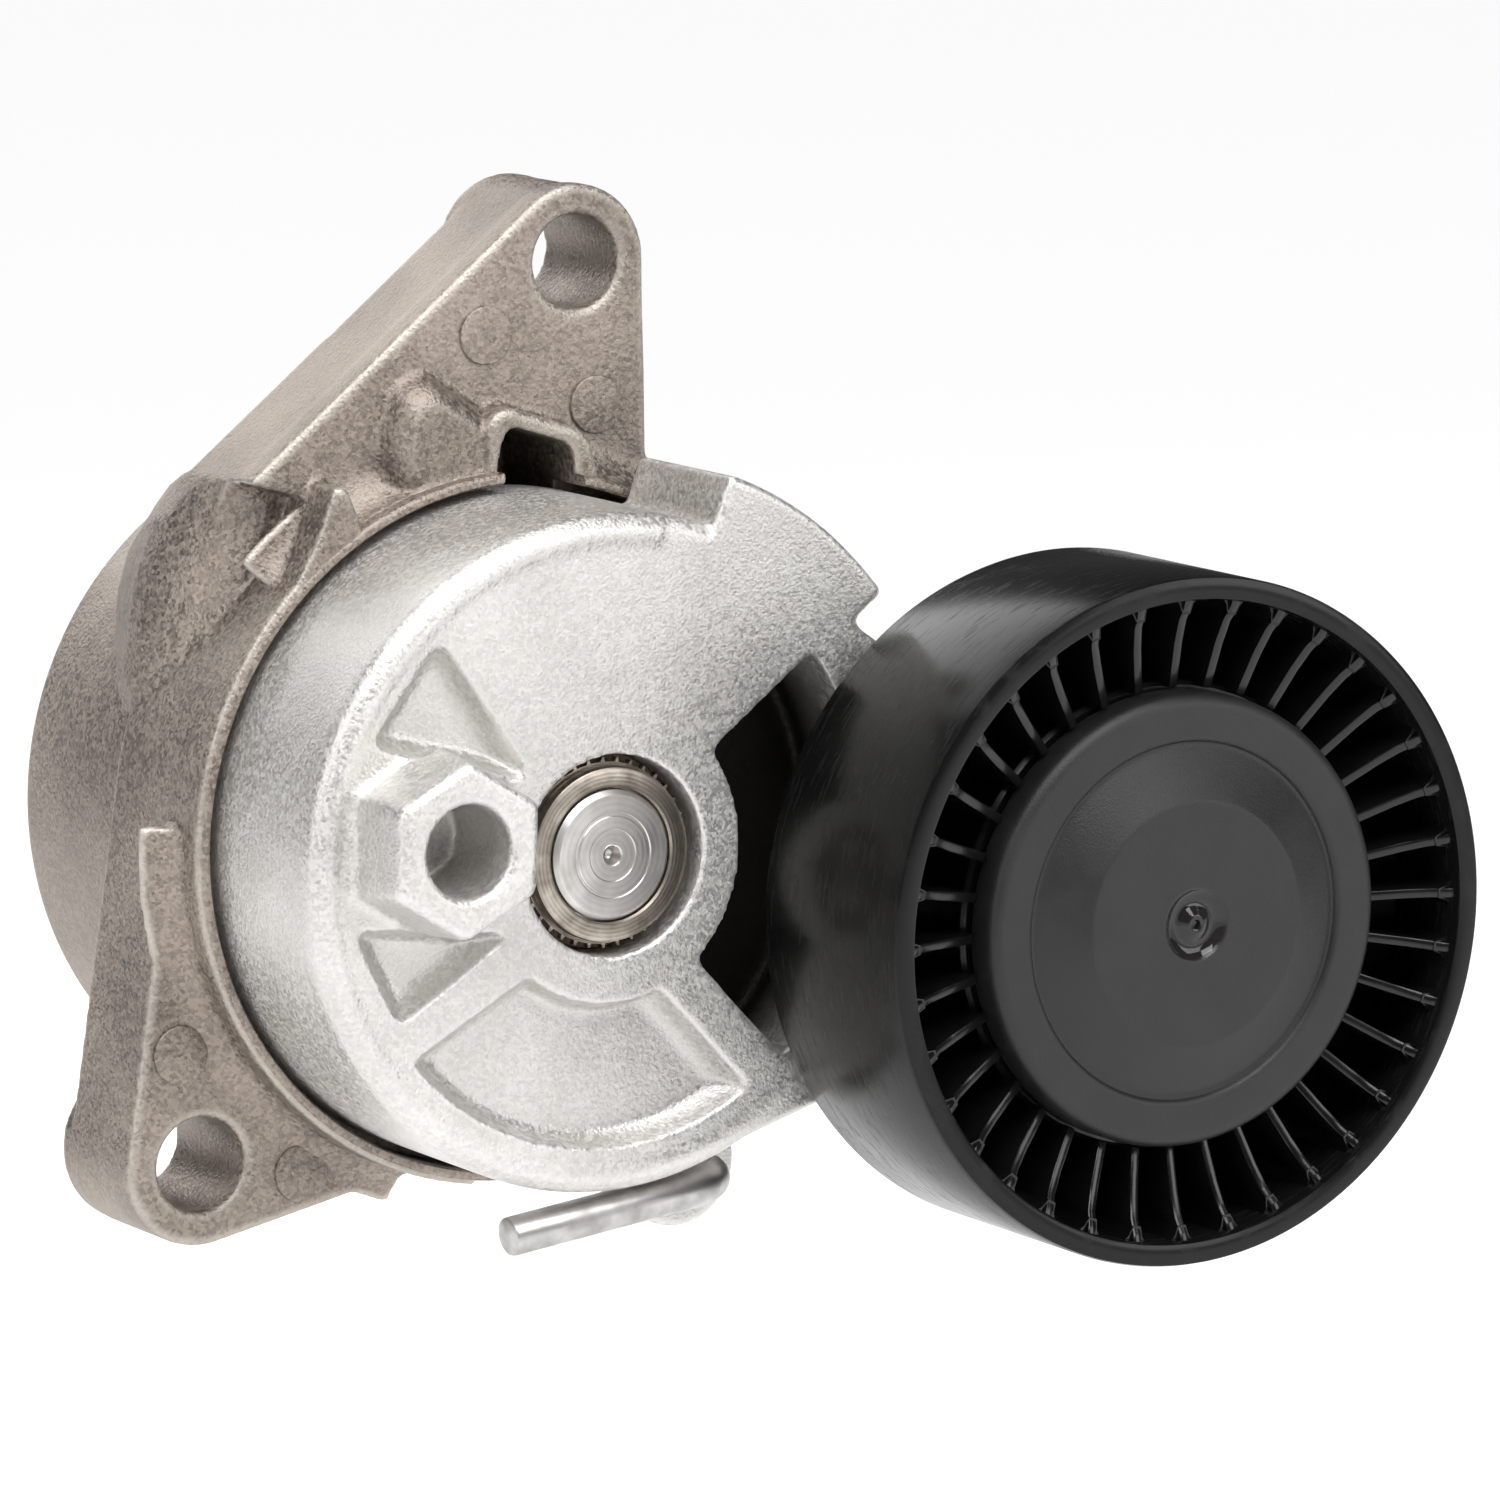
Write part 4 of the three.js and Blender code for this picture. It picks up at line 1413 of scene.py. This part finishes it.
    def bearing(self, looks: Finishes) -> None:
        """Builds the rings, seals and balls, and gives the CAD cage the bush finish."""
        front, rear = self.bearing_front, self.bearing_rear
        for name, shoulder, bore, body, node in (
            ("race_inner", 12.0, self.bore, Body.ARM, "bearing_inner_ring"),
            ("race_outer", 16.4, self.seat, Body.PULLEY, "bearing_outer_ring"),
        ):
            mesh = self._race(shoulder, bore).mesh(name)
            piece(name, mesh, body, looks.bearing, [node])
        for name, near, node in (
            ("seal_front", front + 0.3, "bearing_front_seal"),
            ("seal_rear", rear - 0.9, "bearing_rear_seal"),
        ):
            blank = Blank().turned(ring_profile(12.2, 16.2, near, near + 0.6, 0.1), 96, self.centre)
            piece(name, blank.mesh(name), Body.PULLEY, looks.seal, [node])
        middle = (front + rear) / 2
        for i in range(self.ball_count):
            x, z = polar(self.ball_circle, 360.0 * i / self.ball_count, self.centre)
            blank = Blank().ball((x, middle, z), self.ball_radius)
            piece(f"ball_{i + 1}", blank.mesh("ball"), Body.BALLS, looks.bearing,
                  [f"bearing_ball_{i + 1}"])
        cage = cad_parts["bearing_cage"]
        cage.data.materials.clear()
        cage.data.materials.append(looks.bush)

    def build(self, looks: Finishes) -> None:
        """Builds every piece that turns about the pulley's axis."""
        self.wheel(looks)
        self.cap(looks)
        self.bearing(looks)


# ---- lock pin ---------------------------------------------------------------


@dataclass
class LockPin:
    """The bent wire that holds the arm in its stored position."""

    centre: Point = (15.8, -35.5)
    radius: float = 2.0
    tip: float = -36.1
    leg_depth: float = -55.2
    bend: float = 4.4
    end: tuple[float, float, float] = (-10.3, -56.4, -38.4)

    @staticmethod
    def _grown(
        bm: bmesh.types.BMesh, face: bmesh.types.BMFace, move: Vector, keep: bool = False
    ) -> bmesh.types.BMFace:
        """Extrudes a face along `move` and returns the new end face.

        Args:
            bm: the mesh being built.
            face: the face to extrude.
            move: the way it goes.
            keep: leaves the old face as well, to close a free end.

        Returns:
            The new end face.
        """
        grown = bmesh.ops.extrude_face_region(bm, geom=[face], use_keep_orig=keep)["geom"]
        verts = [g for g in grown if isinstance(g, bmesh.types.BMVert)]
        bmesh.ops.translate(bm, verts=verts, vec=move)
        return next(g for g in grown if isinstance(g, bmesh.types.BMFace))

    def build(self, looks: Finishes) -> bpy.types.Object:
        """Builds the pin from two straight legs and a bend."""
        x, z = self.centre
        corner = Vector((x, self.leg_depth, z))
        down = Vector((0.0, -1.0, 0.0))
        along = (Vector(self.end) - corner).normalized()
        turn = down.angle(along)
        start = corner - down * self.bend * math.tan(turn / 2)
        inward = (along - down * along.dot(down)).normalized()
        blank = Blank()
        bm = blank.bm
        circle = bmesh.ops.create_circle(
            bm, cap_ends=True, segments=32, radius=self.radius,
            matrix=Matrix.Translation((x, self.tip, z)) @ Matrix.Rotation(math.radians(90), 4, "X"),
        )
        tip = circle["verts"][0].link_faces[0]
        end = self._grown(bm, tip, start - tip.calc_center_median(), keep=True)
        spun = bmesh.ops.spin(
            bm, geom=[end, *end.edges, *end.verts], cent=start + inward * self.bend,
            axis=down.cross(along), dvec=(0.0, 0.0, 0.0), angle=turn, steps=12, use_merge=False,
            use_duplicate=False, use_normal_flip=False, space=Matrix.Identity(4),
        )
        last = next(g for g in spun["geom_last"] if isinstance(g, bmesh.types.BMFace))
        self._grown(bm, last, Vector(self.end) - last.calc_center_median())
        inner = [face for face in (end, last) if face.is_valid]
        bmesh.ops.delete(bm, geom=inner, context="FACES_ONLY")
        bmesh.ops.remove_doubles(bm, verts=bm.verts, dist=MERGE_MM)
        bmesh.ops.recalc_face_normals(bm, faces=bm.faces)
        blank.soften(0.3, 2, 60.0)
        mesh = blank.mesh("stop_pin")
        return piece("stop_pin", mesh, Body.PIN, looks.pin, ["lock_pin"])


# ---- stage ------------------------------------------------------------------


@dataclass
class Stage:
    """The plain floor, the soft lights and the camera."""

    low: Vector
    room: float = 0.12
    camera_place: tuple[float, float, float] = (-0.4466, -0.832, 0.1548)
    camera_turn: tuple[float, float, float] = (80.82, 0.0, -30.92)
    lens: float = 217.83
    floor_tone: float = 0.97
    sky_strength: float = 0.07
    sun_strength: float = 3.25

    def floor(self) -> None:
        """Lays a large pale floor under the object, with room for the pulley to swing down."""
        bm = bmesh.new()
        bmesh.ops.create_grid(
            bm, x_segments=1, y_segments=1, size=12.0,
            matrix=Matrix.Translation((0.0, 0.0, self.low.z - self.room)),
        )
        mesh = bpy.data.meshes.new("floor")
        bm.to_mesh(mesh)
        bm.free()
        paint = bpy.data.materials.new("floor_white")
        paint.use_nodes = True
        shader = paint.node_tree.nodes["Principled BSDF"]
        shader.inputs["Base Color"].default_value = (*[self.floor_tone] * 3, 1.0)
        shader.inputs["Roughness"].default_value = 0.9
        mesh.materials.append(paint)
        linked("floor", mesh)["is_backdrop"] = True

    def lights(self) -> None:
        """Hangs large soft lights round the object."""
        world = bpy.data.worlds.new("studio")
        world.use_nodes = True
        sky = world.node_tree.nodes["Background"]
        sky.inputs["Color"].default_value = (1.0, 1.0, 1.0, 1.0)
        sky.inputs["Strength"].default_value = self.sky_strength
        bpy.context.scene.world = world
        aim = Vector((0.01, -0.05, 0.0))
        for name, place, size, power in (
            ("key", (0.15, -0.8, 0.6), 0.4, 3.6),
            ("fill", (0.6, -0.8, 0.22), 0.4, 2.0),
            ("rim", (-0.05, 0.8, 0.5), 0.7, 4.0),
            ("side", (-0.9, -0.3, 0.35), 0.4, 2.2),
        ):
            lamp = bpy.data.lights.new(name, "AREA")
            lamp.shape = "SQUARE"
            lamp.size = size
            lamp.energy = power
            thing = bpy.data.objects.new(name, lamp)
            thing.location = place
            thing.rotation_euler = (aim - Vector(place)).to_track_quat("-Z", "Y").to_euler()
            bpy.context.scene.collection.objects.link(thing)

    def sun(self) -> None:
        """Adds one very soft sun, which keeps the whole floor pale."""
        lamp = bpy.data.lights.new("daylight", "SUN")
        lamp.energy = self.sun_strength
        lamp.angle = math.radians(60.0)
        thing = bpy.data.objects.new("daylight", lamp)
        thing.rotation_euler = (math.radians(18.0), math.radians(-12.0), 0.0)
        bpy.context.scene.collection.objects.link(thing)

    def camera(self) -> None:
        """Places the camera."""
        lens = bpy.data.cameras.new("camera")
        lens.lens = self.lens
        lens.sensor_width = 36.0
        lens.clip_start = 0.05
        thing = bpy.data.objects.new("camera", lens)
        thing.location = self.camera_place
        thing.rotation_euler = tuple(math.radians(a) for a in self.camera_turn)
        bpy.context.scene.collection.objects.link(thing)
        bpy.context.scene.camera = thing

    def build(self) -> None:
        """Builds the stage."""
        self.floor()
        self.lights()
        self.sun()
        self.camera()
        bpy.context.scene.view_settings.view_transform = "Standard"


def corners(box: Sequence[Sequence[float]]) -> list[list[float]]:
    """Returns a box as plain lists of numbers."""
    return [[float(value) for value in corner] for corner in box]


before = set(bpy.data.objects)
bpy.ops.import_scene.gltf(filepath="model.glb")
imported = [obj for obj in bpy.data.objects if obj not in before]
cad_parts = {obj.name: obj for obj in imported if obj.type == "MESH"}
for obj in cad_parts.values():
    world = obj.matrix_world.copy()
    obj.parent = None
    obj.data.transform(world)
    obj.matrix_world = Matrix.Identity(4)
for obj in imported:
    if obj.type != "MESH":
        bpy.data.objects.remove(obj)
CAD_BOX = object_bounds()


def main() -> None:
    """Builds the object in order."""
    logging.basicConfig(level=logging.INFO, format="%(name)s %(message)s")
    low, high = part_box("pulley_wheel")
    centre = ((low.x + high.x) / 2 / MM, (low.z + high.z) / 2 / MM)
    looks = Finishes(centre)
    pulley = Pulley(centre, (high.x - low.x) / 2 / MM, low.y / MM, high.y / MM)
    base = Base(Ear(10.0, 56.7, 7.9), Ear(-33.8, -32.3, 8.3))
    base.build(looks)
    Arm(centre).build(looks)
    pulley.build(looks)
    LockPin().build(looks)
    Stage(Vector(CAD_BOX[0])).build()


if __name__ == "__main__":
    main()
